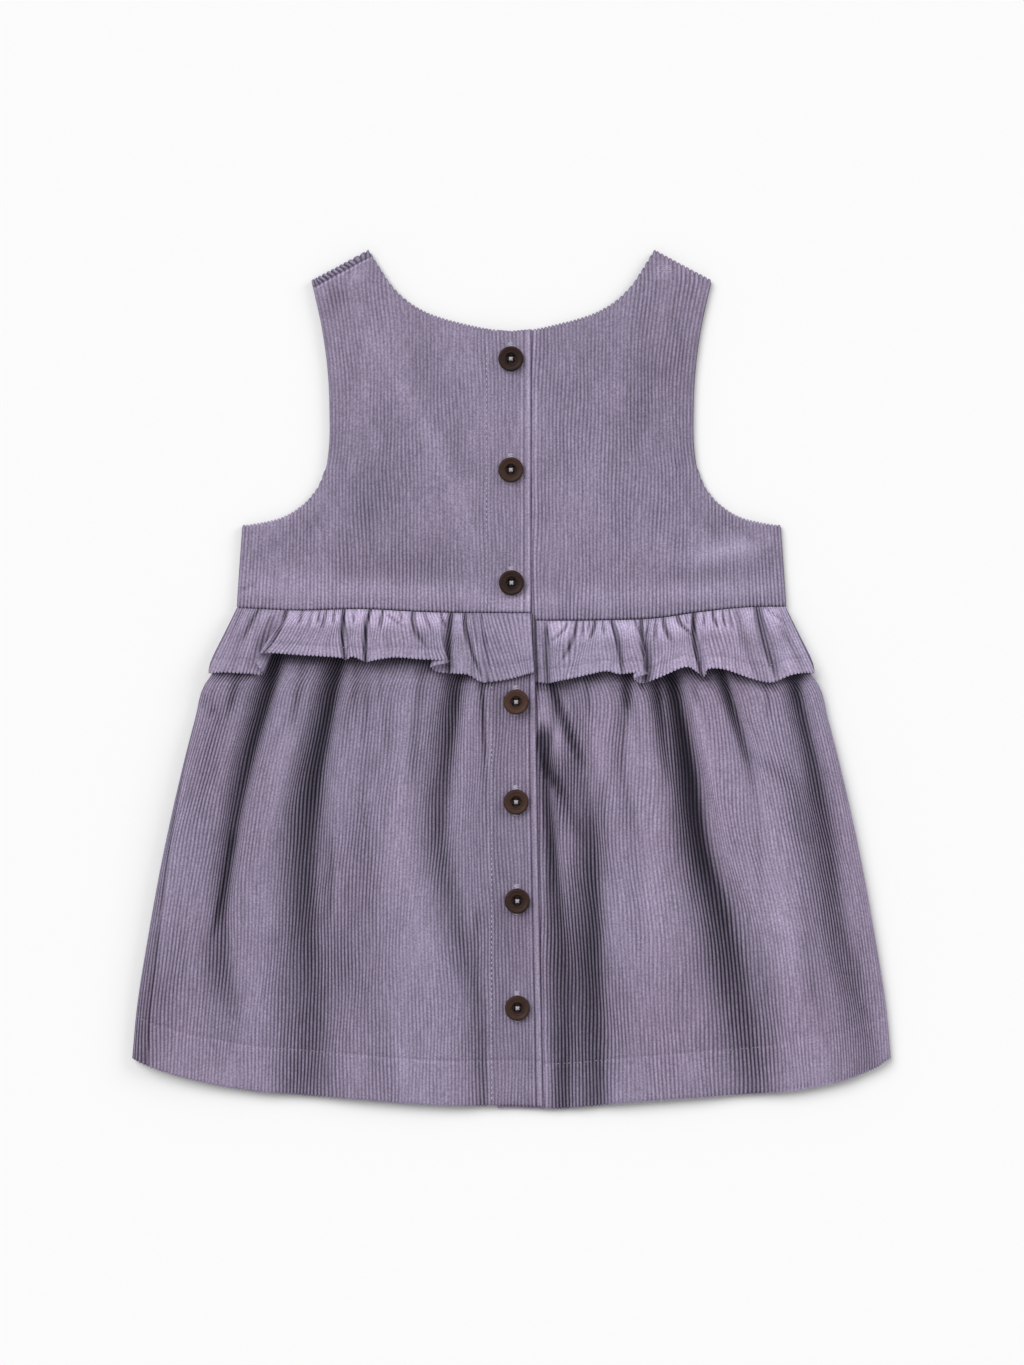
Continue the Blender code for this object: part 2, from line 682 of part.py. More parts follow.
def make_button(number, x, y, bottom, material):
    """A four-hole button turned from its section, lying on the left half's cloth."""
    section = [(r, 0, h) for r, h in zip(BUTTON_SECTION["radius"], BUTTON_SECTION["height"])]
    shape = bmesh.new()
    ring = [shape.verts.new(np.array(p) * MM) for p in section]
    edges = [shape.edges.new(pair) for pair in zip(ring, ring[1:])]
    bmesh.ops.spin(
        shape,
        geom=ring + edges,
        cent=(0, 0, 0),
        axis=(0, 0, 1),
        angle=2 * math.pi,
        steps=BUTTON_SIDES,
        use_merge=True,
    )
    bmesh.ops.remove_doubles(shape, verts=shape.verts, dist=0.01 * MM)
    bmesh.ops.recalc_face_normals(shape, faces=shape.faces)
    mesh = bpy.data.meshes.new(f"button_{number}")
    shape.to_mesh(mesh)
    shape.free()
    mesh.materials.append(material)
    mesh.shade_smooth()
    mesh.set_sharp_from_angle(angle=math.radians(35))
    button = bpy.data.objects.new(f"button_{number}", mesh)
    bpy.context.scene.collection.objects.link(button)
    button.location = (x * MM, y * MM, bottom * MM)
    cut = button.modifiers.new("thread_holes", "BOOLEAN")
    cut.operation = "DIFFERENCE"
    cut.object = hole_cutter(button, number)
    return button


def hole_cutter(button, number):
    """Four short rods through a button, for its thread."""
    shape = bmesh.new()
    for across in (-1, 1):
        for along in (-1, 1):
            rod = bmesh.ops.create_cone(
                shape,
                cap_ends=True,
                segments=6,
                radius1=BUTTON_HOLE_RADIUS * MM,
                radius2=BUTTON_HOLE_RADIUS * MM,
                depth=3 * BUTTON_THICKNESS * MM,
            )
            centre = np.array([across * BUTTON_HOLE_SPREAD, along * BUTTON_HOLE_SPREAD, BUTTON_THICKNESS / 2])
            bmesh.ops.translate(shape, verts=rod["verts"], vec=(centre * MM).tolist())
    mesh = bpy.data.meshes.new(f"hole_cutter_{number}")
    shape.to_mesh(mesh)
    shape.free()
    cutter = bpy.data.objects.new(f"hole_cutter_{number}", mesh)
    bpy.context.scene.collection.objects.link(cutter)
    cutter.parent = button
    cutter.hide_render = True
    cutter.display_type = "WIRE"
    return cutter


def cloth_top_under(x, y):
    """Highest point of the left half's cloth under a button centred at (x, y)."""
    reach = np.linspace(-BUTTON_RADIUS, BUTTON_RADIUS, 9)
    around_x, around_y = np.meshgrid(x + reach, y + reach)
    height = bodice_height if y > SKIRT_TOP_Y else skirt_height
    return float(height(around_x, around_y, -1).max())


def main():
    for obj in list(bpy.data.objects):
        bpy.data.objects.remove(obj)
    corduroy = plain_material("lilac_corduroy", (0.235, 0.198, 0.290), 0.9)
    wood = plain_material("dark_wood", (0.070, 0.036, 0.026), 0.55)

    make_front_bodice(corduroy)
    make_front_frill(corduroy)
    make_front_skirt(corduroy)
    make_back_bodice("back_bodice_right", 1, -UNDERLAP, corduroy)
    make_back_bodice("back_bodice_left", -1, -LAP_EDGE_BODICE, corduroy)
    make_back_skirt("back_skirt_right", 1, lambda y: -UNDERLAP + 0 * y, right_hem_y, corduroy)
    make_back_skirt("back_skirt_left", -1, left_skirt_edge, left_hem_y, corduroy)
    make_back_frill("back_frill_right", RIGHT_FLUTES, 1, corduroy)
    make_back_frill("back_frill_left", LEFT_FLUTES, -1, corduroy)
    for number, (x, y) in enumerate(zip(BUTTONS["x"], BUTTONS["y"]), 1):
        make_button(number, x, y, cloth_top_under(x, y) + SEAM_GAP, wood)


main()
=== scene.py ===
"""Looks of a small child's corduroy pinafore dress, laid flat with its buttoned back upwards.

Each cloth node is replaced by a shell on the same form whose outer side carries the cloth's ribs, and
each button by a finer one. The stitches are pieces of their own.

Lengths in the tables and constants are in millimetres, and MM turns them into metres. +X is the
wearer's right, +Y the neck, +Z up. "Out" is the distance from the middle line, x = 0, towards either
side seam. A wale is one rib of the cloth with the groove beside it.
"""

import math

import bpy
import numpy as np
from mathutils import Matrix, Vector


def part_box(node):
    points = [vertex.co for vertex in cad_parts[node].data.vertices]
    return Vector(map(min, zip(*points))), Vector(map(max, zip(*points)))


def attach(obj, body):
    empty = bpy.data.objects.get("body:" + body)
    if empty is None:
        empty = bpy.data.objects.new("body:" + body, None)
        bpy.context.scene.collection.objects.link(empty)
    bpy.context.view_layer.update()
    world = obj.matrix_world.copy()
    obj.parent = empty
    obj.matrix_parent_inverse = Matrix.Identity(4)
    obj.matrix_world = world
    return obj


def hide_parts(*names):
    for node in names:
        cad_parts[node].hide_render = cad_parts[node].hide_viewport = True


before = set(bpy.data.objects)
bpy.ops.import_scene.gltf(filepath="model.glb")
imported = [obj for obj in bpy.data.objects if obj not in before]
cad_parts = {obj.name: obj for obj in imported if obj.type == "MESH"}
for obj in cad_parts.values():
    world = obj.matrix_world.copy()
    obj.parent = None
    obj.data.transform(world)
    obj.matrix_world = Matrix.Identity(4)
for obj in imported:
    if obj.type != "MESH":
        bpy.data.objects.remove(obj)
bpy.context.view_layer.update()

MM = 0.001

# Cloth.
CLOTH = 1.2
FRILL_CLOTH = 1.0
SEAM_GAP = 0.3
LAYER = CLOTH + SEAM_GAP
FRILL_LAYER = FRILL_CLOTH + SEAM_GAP
SHELL = 0.95  # thickness of a shell under the grooves of its ribs
FRILL_SHELL = 0.8

# Ribs. Each wale has four columns of points: groove, flank, crest, flank.
WALE = 1.85
WALE_STEPS = np.array([0.0, 0.24, 0.5, 0.76])
WALE_RISE = np.array([0.0, 0.84, 1.0, 0.84])
RIB_HEIGHT = 0.42
SMOOTHEST_RIB = 0.4  # share of its height that a rib keeps where the crisp attribute is 0
NECK_TEETH = 1.0  # how far a rib's end stands out past the groove's at the neck and armholes
HEM_TEETH = 0.6  # the same at the hems
SEAM_TEETH = 0.5  # the same where the bodice is sewn to the frill
# Ribs stray sideways in waves: how far, how long a wave is over 2 pi, how much it differs from the first
# rib to the last, and where it starts.
RIB_WAVES = ((0.5, 31.0, 8.0, 0.0), (0.35, 14.0, 23.0, 1.0), (0.2, 7.0, 51.0, 0.0))
STRAY_START, STRAY_FULL = 1.0, 14.0  # distances in from the armhole between which ribs begin to stray
STRAY_FREE = 16.0  # distance from the middle edge at which they stray freely

# Bodice.
SHOULDER_OUT = 100.3
SHOULDER_Y = 199.2
STRAP_INNER_OUT = 72.0
NECK_TOP_Y = 214.6
SHOULDER_FALL = (NECK_TOP_Y - SHOULDER_Y) / (SHOULDER_OUT - STRAP_INNER_OUT)
ARMHOLE_OUT = 93.0
ARMHOLE_TURN_Y = 106.0
UNDERARM_OUT = 134.9  # side seam at the armhole
BODICE_SIDE_TOP_Y = 76.8
BODICE_SIDE_OUT = 137.5
FRONT_NECK_DROP = 12.0
STRAP_EDGE_OUT, STRAP_FULL_OUT = STRAP_INNER_OUT - 4.0, STRAP_INNER_OUT + 1.0
STRAP_LENGTH = 88.0  # from the armhole's turn up to the shoulder, square to the shoulder's edge
SHOULDER_WRAP = 3.3  # width of the strip of the front that shows over the left shoulder
WRAP_SLANT = 3.2  # how far its ribs lean outwards on their way up
WRAP_ROWS = np.array([-2.2, -1.4, -0.7, -0.3, 0.0, 0.3, 0.8, 1.4, 2.0])  # rows of points beside its seam
# Rows of points below the armhole's turn and above it.
BACK_BODICE_ROWS, FRONT_BODICE_ROWS = (26, 44), (8, 14)

# Button fastening.
LAP_EDGE_BODICE = 9.75
LAP_EDGE_SKIRT = 11.7
LAP_EDGE_HEM = 15.8
LAP_EDGE_BEND = 1.3
UNDERLAP = 7.0
LAP_START, LAP_FULL = -24.0, -12.0
LAP_CLEAR = 0.15
LAP_BODICE_RISE = 1.5
LAP_SKIRT_RISE = 2.0
LAP_RISE_START, LAP_RISE_FULL = -30.0, -5.0
LAP_STITCH_BODICE, LAP_STITCH_SKIRT = -12.5, -9.9  # x of the stitch line down the left half's facing
LAP_CREASE_SHARE = 0.2  # how much of a crease goes on across the left half's facing

# Heights.
EDGE_HEIGHT = 2 * CLOTH + SEAM_GAP
BODICE_REST = 0.4
BODICE_LOFT = 1.2
LOFT_START, LOFT_FULL = 8.0, 32.0
NECK_ROUNDING_START = 2.0
WAIST_RISE = 3.0
WAIST_RISE_LENGTH = 12.0
WAIST_DIP, WAIST_DIP_LENGTH = 0.6, 1.4  # how far the bodice dips into the waist seam, and over what length
WAIST_LINE_ABOVE = 3.2  # from the waist seam up to the soft line over its allowance's edge
SIDE_ROUNDING = 12.0
EDGE_ROLL = 0.55  # how far a folded edge rolls down
EDGE_ROLL_WIDTH = 1.3
STITCH_DIP, STITCH_DIP_WIDTH = 0.4, 0.7  # how deep and wide the cloth is pulled in along a line of stitches
MIDDLE_FOLD_SHARE = 0.05
MIDDLE_OUT, FOLDS_OUT = 12.0, 26.0
FRONT_STEP_LOW, FRONT_STEP_HIGH = -14.0, 1.0

# Skirt and hem.
SKIRT_TOP_Y = 36.0
WAIST_SHAPE_END, WAIST_SHAPE_FULL = 20.0, 34.0  # y between which the rows of points bend to the waist seam
HEM_SHAPE_START = -60.0
HEM_OUT = 190.0
HEM_MIDDLE_Y = -213.0
RIGHT_HEM_DROP = 1.5
RIGHT_DROP_START, RIGHT_DROP_FULL = 60.0, 15.0
FRONT_HEM_LIFT = 0.7
HEM_TURN_UP = 22.5
SIDE_SEAM_DRIFT = 8.0  # how far the left side seam comes into view towards the hem
SIDE_SEAM_TOP_Y, SIDE_SEAM_FOOT_Y = -2.0, -200.0
BACK_SKIRT_WALES = {-1: 117, 1: 112}
FRONT_SKIRT_WALES = 106
BACK_SKIRT_ROWS, FRONT_SKIRT_ROWS = 56, 26
FOLD_FULLNESS = 1.4  # how much more of its width the back skirt's cloth has in its folds than they measure
RIB_DRIFT = {-1: 0.0, 1: 10.0}  # how far the back skirt's ribs stray out on the way to the hem
DRIFT_TOP_Y, DRIFT_LENGTH = 20.0, 220.0

# Frill.
FRILL_DROP = 32.0  # from the waist seam to the frill's hem, about
FRILL_HEM_MARGIN = 7.2  # from the frill's edge to its hem stitches
FRILL_SEWN = 1 - FRILL_HEM_MARGIN / FRILL_DROP  # the stitches' place, as a share of the way to the hem
FRONT_FRILL_WALES = 160
FRONT_FRILL_HEM_Y = 3.6
FRONT_FRILL_ROWS, BACK_FRILL_ROWS = 8, 20


def table(columns, *rows):
    """The named columns as NumPy arrays, with one value a row."""
    return dict(zip(columns.split(), np.array(rows, float).T))


def curve(at, value):
    """A smooth function through the points (at, value), with at increasing and the ends held.

    Cubic Hermite: each stretch leaves and arrives with the slopes that np.gradient gives its ends.
    """
    slope = np.gradient(value, at)

    def evaluate(q):
        q = np.clip(q, at[0], at[-1])
        k = np.clip(np.searchsorted(at, q, side="right") - 1, 0, len(at) - 2)
        step = at[k + 1] - at[k]
        t = (q - at[k]) / step
        rise = 3 * t**2 - 2 * t**3
        leave, arrive = t**3 - 2 * t**2 + t, t**3 - t**2
        bend = step * (slope[k] * leave + slope[k + 1] * arrive)
        return value[k] * (1 - rise) + value[k + 1] * rise + bend

    return evaluate


def ease(q, start, end):
    """0 at start and 1 at end, by 3t^2 - 2t^3 between them."""
    t = np.clip((q - start) / (end - start), 0, 1)
    return t * t * (3 - 2 * t)


def rounded(inward, width):
    """A quarter-circle rise from 0 at an edge to 1 at width inside it."""
    return np.sqrt(1 - (1 - np.clip(inward / width, 0, 1)) ** 2)


# ---------------------------------------------------------------------------------------------
# Outlines, the same as the solids'
# ---------------------------------------------------------------------------------------------

ARMHOLE = table(
    "y out",
    (BODICE_SIDE_TOP_Y, UNDERARM_OUT),
    (78.3, 126.0),
    (80.6, 116.5),
    (85.2, 107.5),
    (91.2, 100.6),
    (98.0, 96.0),
    (ARMHOLE_TURN_Y, ARMHOLE_OUT),
    (116.0, 91.6),
    (135.0, 91.3),
    (155.0, 92.3),
    (175.0, 95.0),
    (SHOULDER_Y, SHOULDER_OUT),
)
NECK = table(
    "out y",
    (0.0, 173.8),
    (10.0, 174.8),
    (22.0, 177.2),
    (34.0, 180.3),
    (44.0, 183.9),
    (52.0, 188.6),
    (59.0, 195.6),
    (65.0, 204.0),
    (STRAP_INNER_OUT, NECK_TOP_Y),
)
BODICE_SIDE = table("y out", (28.0, 138.2), (50.0, 136.8), (BODICE_SIDE_TOP_Y, UNDERARM_OUT))
LEFT_WAIST = table("x y", (-137.5, 35.8), (-105.0, 34.5), (-78.0, 35.2), (-40.0, 33.6), (14.0, 33.0))
RIGHT_WAIST = table(
    "x y", (-8.0, 29.6), (45.0, 29.6), (72.0, 30.6), (95.0, 33.8), (120.0, 36.2), (137.5, 36.4)
)
FRILL_SIDE = table(
    "y out", (3.0, 152.0), (7.5, 151.2), (11.5, 149.6), (19.5, 145.6), (27.5, 141.6), (36.5, 137.2)
)
SKIRT_SIDE = table(
    "y out",
    (-189.6, 190.0),
    (-165.0, 187.7),
    (-130.0, 182.2),
    (-90.0, 174.9),
    (-50.0, 166.1),
    (-20.0, 158.5),
    (-2.0, 153.2),
    (3.0, 149.6),
    (12.0, 146.8),
    (22.0, 141.8),
    (36.5, 134.6),
)
HEM = table(
    "out y",
    (0.0, -213.0),
    (20.0, -213.6),
    (45.0, -212.8),
    (75.0, -210.4),
    (105.0, -208.0),
    (128.0, -206.2),
    (150.0, -202.4),
    (170.0, -197.6),
    (182.0, -193.6),
    (190.0, -189.6),
)
SKIRT_CREST = table(
    "y height",
    (-213.0, 3.0),
    (-170.0, 5.4),
    (-110.0, 7.2),
    (-40.0, 7.6),
    (0.0, 5.4),
    (20.0, 1.8),
    (36.0, 0.2),
)

# ---------------------------------------------------------------------------------------------
# Folds
# ---------------------------------------------------------------------------------------------

# The valleys between the skirt's folds at six heights, from the hem up to the frill. dark is the painted
# shade in each.
VALLEY_Y = np.array([-198.0, -160.0, -120.0, -80.0, -45.0, -10.0])
LEFT_VALLEYS = {
    "side": table(
        "x width depth dark",
        (-136.0, 10.0, 0.25, 0.15),
        (-141.8, 9.0, 0.45, 0.35),
        (-144.6, 5.0, 0.8, 0.8),
        (-139.4, 4.0, 1.3, 1.6),
        (-132.6, 4.3, 1.9, 2.3),
        (-122.6, 4.6, 2.4, 3.1),
    ),
    "second": table(
        "x width depth dark",
        (-100.0, 18.0, 0.7, 0.65),
        (-101.5, 17.0, 0.9, 0.9),
        (-103.8, 12.0, 1.3, 1.35),
        (-102.4, 9.3, 1.8, 1.8),
        (-97.6, 6.8, 2.6, 2.7),
        (-90.4, 4.8, 2.6, 3.3),
    ),
    "between": table(
        "x width depth dark",
        (-70.0, 12.0, 0.0, 0.0),
        (-72.0, 12.0, 0.0, 0.1),
        (-74.0, 12.0, 0.1, 0.3),
        (-74.0, 10.0, 0.1, 0.3),
        (-74.0, 8.0, 0.2, 0.2),
        (-74.0, 6.0, 0.4, 0.3),
    ),
    "third": table(
        "x width depth dark",
        (-14.0, 5.0, 0.3, 0.7),
        (-18.0, 7.0, 0.5, 0.5),
        (-29.0, 11.0, 0.6, 0.65),
        (-36.0, 8.5, 1.0, 1.0),
        (-33.4, 6.5, 1.3, 1.5),
        (-28.4, 4.8, 1.8, 2.1),
    ),
    "by the lap": table(
        "x width depth dark",
        (-12.0, 5.0, 0.0, 0.0),
        (-12.0, 5.0, 0.0, 0.1),
        (-12.0, 5.0, 0.1, 0.2),
        (-12.0, 4.0, 0.1, 0.2),
        (-13.2, 2.4, 0.2, 0.45),
        (-14.2, 1.7, 0.6, 0.95),
    ),
}
RIGHT_VALLEYS = {
    "lap": table(
        "x width depth dark",
        (26.0, 6.0, 1.2, 1.3),
        (26.0, 8.0, 1.3, 1.1),
        (23.4, 5.5, 1.4, 1.2),
        (19.8, 3.6, 1.3, 1.9),
        (17.0, 3.0, 1.4, 1.3),
        (23.0, 4.0, 1.8, 0.2),
    ),
    "far lap": table(
        "x width depth dark",
        (42.0, 9.0, 0.7, 1.2),
        (40.0, 11.0, 0.9, 1.5),
        (40.4, 8.0, 1.0, 1.7),
        (39.6, 6.0, 1.0, 1.0),
        (34.0, 7.0, 0.8, 0.35),
        (30.0, 5.0, 0.5, 0.0),
    ),
    "middle": table(
        "x width depth dark",
        (68.0, 8.0, 0.0, 0.0),
        (67.0, 8.0, 0.0, 0.0),
        (64.0, 8.0, 0.1, 0.0),
        (61.0, 6.0, 0.2, 0.2),
        (55.0, 3.5, 0.35, 0.4),
        (57.6, 3.4, 0.5, 0.7),
    ),
    "main": table(
        "x width depth dark",
        (119.0, 15.0, 0.7, 0.7),
        (112.5, 14.0, 0.9, 1.2),
        (104.3, 10.0, 1.5, 2.1),
        (93.4, 7.2, 2.3, 3.7),
        (88.4, 6.2, 2.8, 4.5),
        (82.0, 4.4, 2.4, 3.6),
    ),
    "before main": table(
        "x width depth dark",
        (96.0, 5.0, 0.0, 0.0),
        (92.0, 5.0, 0.0, 0.0),
        (88.0, 5.0, 0.0, 0.0),
        (84.0, 5.0, 0.0, 0.0),
        (78.0, 3.0, 0.3, 0.3),
        (73.4, 3.0, 1.2, 2.3),
    ),
    "short": table(
        "x width depth dark",
        (124.0, 8.0, 0.0, 0.0),
        (124.0, 8.0, 0.0, 0.1),
        (124.0, 7.0, 0.0, 0.1),
        (123.0, 5.0, 0.15, 0.2),
        (119.0, 3.2, 0.6, 0.5),
        (109.0, 2.7, 1.4, 2.6),
    ),
    "side": table(
        "x width depth dark",
        (180.0, 10.0, 0.4, 0.3),
        (172.0, 11.0, 0.6, 0.6),
        (162.0, 9.0, 0.8, 0.9),
        (157.0, 7.4, 1.0, 1.15),
        (151.0, 5.4, 1.3, 1.6),
        (143.0, 4.2, 1.9, 2.2),
    ),
}
VALLEYS = {-1: LEFT_VALLEYS, 1: RIGHT_VALLEYS}
VALLEY_LEFT_REACH, VALLEY_RIGHT_REACH = 1.15, 0.85

# The frill's flutes, one row for each crest, crease or turn.
LEFT_FLUTES = table(
    "waist_x hem_x hem_y lift",
    (-136.9, -151.9, 3.2, 0.0),  # folded edge at the side seam
    (-134.4, -148.8, 3.2, 0.2),
    (-131.0, -143.0, 3.4, 0.9),
    (-126.5, -135.5, 3.0, 0.5),
    (-120.5, -130.0, 2.8, 1.2),
    (-113.5, -124.0, 2.6, 0.6),
    (-110.2, -126.6, 9.0, 3.6),  # turns up
    (-107.0, -123.6, 13.0, 7.2),  # left edge of the wide flute
    (-96.0, -105.0, 12.0, 7.2),
    (-86.2, -85.8, 10.8, 6.4),
    (-83.6, -82.4, 9.6, 4.4),  # slit
    (-81.0, -79.4, 11.2, 6.0),
    (-74.4, -74.8, 9.6, 6.0),
    (-71.9, -72.0, 8.6, 4.2),  # slit
    (-69.2, -69.2, 9.2, 6.6),
    (-58.0, -58.2, 10.8, 7.2),
    (-47.6, -45.8, 10.0, 7.4),
    (-37.6, -31.0, 9.0, 7.4),  # right edge of the long flute, folded back under itself
    (-33.8, -39.4, 6.6, 4.1),
    (-30.0, -36.6, 3.6, 0.8),
    (-26.2, -27.0, 2.8, 2.4),
    (-22.6, -21.6, 2.2, 1.7),
    (-19.4, -16.4, -0.8, 0.3),
    (-14.6, -13.0, -1.5, 0.6),
    (-3.2, -1.6, 0.0, 0.5),
    (9.3, 11.3, 3.6, 0.3),
)
RIGHT_FLUTES = table(
    "waist_x hem_x hem_y lift",
    (5.0, 5.5, -1.4, 0.0),  # under the left half
    (12.4, 13.4, -1.5, 0.0),
    (16.2, 17.8, -2.0, 0.3),
    (20.8, 21.6, -1.2, 2.8),
    (27.2, 25.6, -0.4, 3.6),
    (32.6, 29.0, 0.2, 2.6),
    (39.2, 37.0, 2.0, 4.6),
    (46.6, 47.0, 4.0, 4.8),
    (50.4, 53.6, 2.6, 2.8),
    (56.2, 60.4, 3.2, 5.6),
    (62.4, 67.4, 3.2, 7.2),  # folded back under itself
    (65.4, 61.4, 0.8, 4.0),
    (68.4, 64.6, -2.0, 0.8),
    (74.0, 72.4, 0.4, 3.4),
    (83.6, 86.0, 6.0, 7.4),
    (88.6, 91.6, 4.0, 6.2),
    (91.0, 95.6, 1.2, 3.6),  # slit
    (93.6, 97.6, 5.0, 6.6),
    (101.0, 105.4, 5.0, 6.6),
    (109.2, 114.4, 2.0, 4.6),
    (116.4, 122.8, -0.6, 2.6),
    (122.6, 130.2, -1.5, 0.5),
    (128.0, 138.8, 2.0, 2.8),
    (132.4, 145.6, 3.2, 1.2),
    (134.6, 149.2, 3.2, 0.3),
    (136.9, 151.9, 3.2, 0.0),  # folded edge at the side seam
)
# Bowed creases: each runs down the cloth, from start to end, through from_x, by_x halfway and to_x. left
# and right are its widths on either side, deep is how far it sinks and dark how much painted shade it gets.
BOWED = "from_x by_x to_x start end left right deep dark"
# On the frill, start and end are shares of the way from the waist seam to the hem.
LEFT_GATHERS = table(
    BOWED,
    (-126.4, -130.6, -134.0, 0.0, 0.5, 0.8, 0.8, 0.9, 1.1),
    (-134.5, -140.5, -146.0, 0.0, 0.9, 1.0, 1.0, 0.5, 0.3),
    (-119.5, -124.0, -127.5, 0.1, 0.8, 1.4, 2.2, 0.5, 0.35),
    (-112.4, -117.0, -126.4, 0.0, 1.2, 1.3, 0.8, 0.7, 1.6),
    (-104.5, -105.0, -105.8, 0.0, 0.35, 0.7, 0.7, 0.9, 0.6),
    (-99.6, -100.4, -101.6, 0.0, 0.5, 0.7, 0.7, 0.5, 0.4),
    (-96.0, -96.0, -96.2, 0.0, 0.3, 0.6, 0.6, 0.9, 0.6),
    (-92.4, -93.4, -94.4, 0.0, 0.45, 0.7, 0.7, 0.9, 0.7),
    (-88.2, -88.6, -88.4, 0.0, 0.32, 0.6, 0.6, 0.8, 0.6),
    (-83.8, -84.0, -82.0, 0.0, 1.3, 0.6, 0.8, 0.9, 2.4),
    (-78.2, -78.4, -78.4, 0.0, 0.3, 0.5, 0.5, 0.8, 0.4),
    (-70.6, -72.8, -71.4, 0.0, 1.3, 0.7, 0.6, 0.9, 2.4),
    (-64.4, -65.0, -65.4, 0.0, 0.4, 0.6, 0.6, 0.9, 1.0),
    (-61.4, -57.0, -51.0, 0.1, 0.38, 1.0, 1.2, 0.5, 0.5),
    (-55.6, -54.8, -54.4, 0.0, 0.25, 0.5, 0.5, 0.9, 0.5),
    (-49.6, -48.4, -42.0, 0.0, 0.75, 0.8, 1.5, 0.9, 1.2),
    (-43.6, -42.0, -39.4, 0.0, 0.4, 0.6, 0.7, 0.8, 0.5),
    (-35.2, -34.2, -31.6, 0.0, 0.3, 0.7, 0.7, 0.7, 0.7),
    (-30.0, -31.3, -30.6, 0.0, 1.2, 1.2, 0.8, 0.7, 2.2),
    (-23.6, -21.4, -14.2, 0.0, 0.95, 0.7, 1.2, 0.7, 1.7),
    (-18.8, -18.0, -16.8, 0.0, 0.5, 0.6, 0.6, 0.5, 0.5),
    (-15.2, -14.3, -12.6, 0.0, 0.6, 0.5, 0.5, 0.3, 0.9),
    (-13.0, -11.6, -11.0, 0.3, 1.1, 0.5, 0.5, 0.2, 0.6),
)
RIGHT_GATHERS = table(
    BOWED,
    (11.4, 12.2, 13.4, 0.0, 1.2, 0.9, 0.9, 0.2, 1.2),
    (17.4, 17.4, 18.4, 0.15, 1.2, 1.3, 1.0, 0.5, 1.4),
    (27.6, 24.0, 15.0, 0.05, 0.4, 0.9, 0.9, 0.5, 0.6),
    (32.2, 30.2, 24.0, 0.0, 0.7, 0.7, 0.9, 0.8, 1.2),
    (35.8, 35.6, 35.2, 0.0, 0.3, 0.6, 0.6, 0.9, 0.6),
    (38.8, 38.6, 38.2, 0.0, 0.22, 0.5, 0.5, 0.9, 0.6),
    (41.8, 40.8, 38.8, 0.0, 0.35, 0.9, 0.9, 0.8, 1.3),
    (45.6, 45.8, 46.4, 0.0, 0.3, 0.6, 0.6, 0.9, 0.5),
    (49.6, 53.4, 54.8, 0.0, 1.1, 0.6, 1.2, 0.8, 1.4),
    (61.4, 63.0, 65.2, 0.0, 0.32, 0.6, 0.7, 0.7, 0.8),
    (64.8, 65.6, 68.4, 0.0, 1.2, 0.9, 0.8, 0.7, 1.9),
    (72.0, 71.8, 71.6, 0.0, 0.4, 0.6, 0.6, 0.9, 0.5),
    (75.6, 76.8, 79.8, 0.0, 0.45, 0.7, 1.0, 0.9, 1.3),
    (83.0, 85.0, 91.0, 0.0, 0.4, 0.9, 0.9, 0.8, 1.2),
    (87.2, 87.4, 88.0, 0.0, 0.2, 0.5, 0.5, 0.9, 0.4),
    (90.8, 91.3, 96.4, 0.0, 1.2, 0.6, 1.2, 0.9, 2.6),
    (96.2, 96.0, 95.8, 0.0, 0.28, 0.6, 0.6, 0.9, 0.5),
    (100.6, 101.0, 103.0, 0.0, 0.3, 0.7, 0.7, 0.9, 1.1),
    (105.4, 105.8, 106.8, 0.0, 0.3, 0.6, 0.6, 0.9, 0.6),
    (108.6, 109.2, 110.6, 0.0, 0.35, 0.6, 0.6, 0.8, 0.5),
    (111.6, 117.2, 127.0, 0.0, 1.2, 1.8, 3.6, 0.4, 0.45),
    (121.8, 125.6, 131.4, 0.0, 0.95, 0.7, 2.4, 0.8, 1.5),
    (127.0, 133.0, 139.0, 0.02, 0.3, 1.0, 1.0, 0.4, 0.4),
    (133.6, 139.6, 144.0, 0.3, 0.9, 1.6, 1.6, 0.4, 0.25),
)
# On the skirt, start and end are distances in millimetres down from y = 0.
LEFT_SHARP = table(
    BOWED,
    (-135.6, -138.6, -141.4, -6.0, 18.0, 2.2, 2.2, 0.4, 0.9),
    (-104.0, -106.8, -110.0, -8.0, 26.0, 2.0, 2.4, 0.3, 0.45),
    (-77.8, -78.0, -78.2, -8.0, 22.0, 1.4, 1.4, 0.2, 0.3),
    (-65.6, -66.0, -66.4, -8.0, 16.0, 1.6, 1.6, 0.2, 0.25),
    (-44.4, -48.4, -49.6, -4.0, 56.0, 2.6, 3.6, 0.3, 0.4),
    (-140.2, -143.8, -148.4, 80.0, 126.0, 1.0, 2.2, 0.6, 1.0),
    (-90.4, -90.4, -91.0, 80.0, 122.0, 0.7, 1.4, 0.4, 0.5),
    (-15.0, -14.2, -13.2, 0.0, 42.0, 0.5, 0.6, 0.3, 1.1),
    (-17.4, -17.6, -17.2, 120.0, 170.0, 1.6, 1.6, 0.3, 0.3),
)
RIGHT_SHARP = table(
    BOWED,
    (17.6, 25.6, 36.4, -6.0, 44.0, 1.9, 1.9, 0.8, 1.9),
    (14.6, 16.4, 26.5, 27.0, 59.0, 1.4, 3.8, 0.8, 2.3),
    (17.4, 29.4, 40.0, 44.0, 86.0, 3.8, 2.0, 0.8, 0.5),
    (57.0, 57.4, 57.8, -4.0, 16.0, 2.0, 2.0, 0.3, 1.4),
    (37.0, 38.0, 40.0, -2.0, 22.0, 1.4, 1.4, 0.2, 0.35),
    (91.0, 91.4, 92.2, -4.0, 12.0, 1.4, 1.4, 0.2, 0.3),
    (126.0, 127.6, 129.4, -4.0, 22.0, 1.4, 1.4, 0.3, 0.4),
)
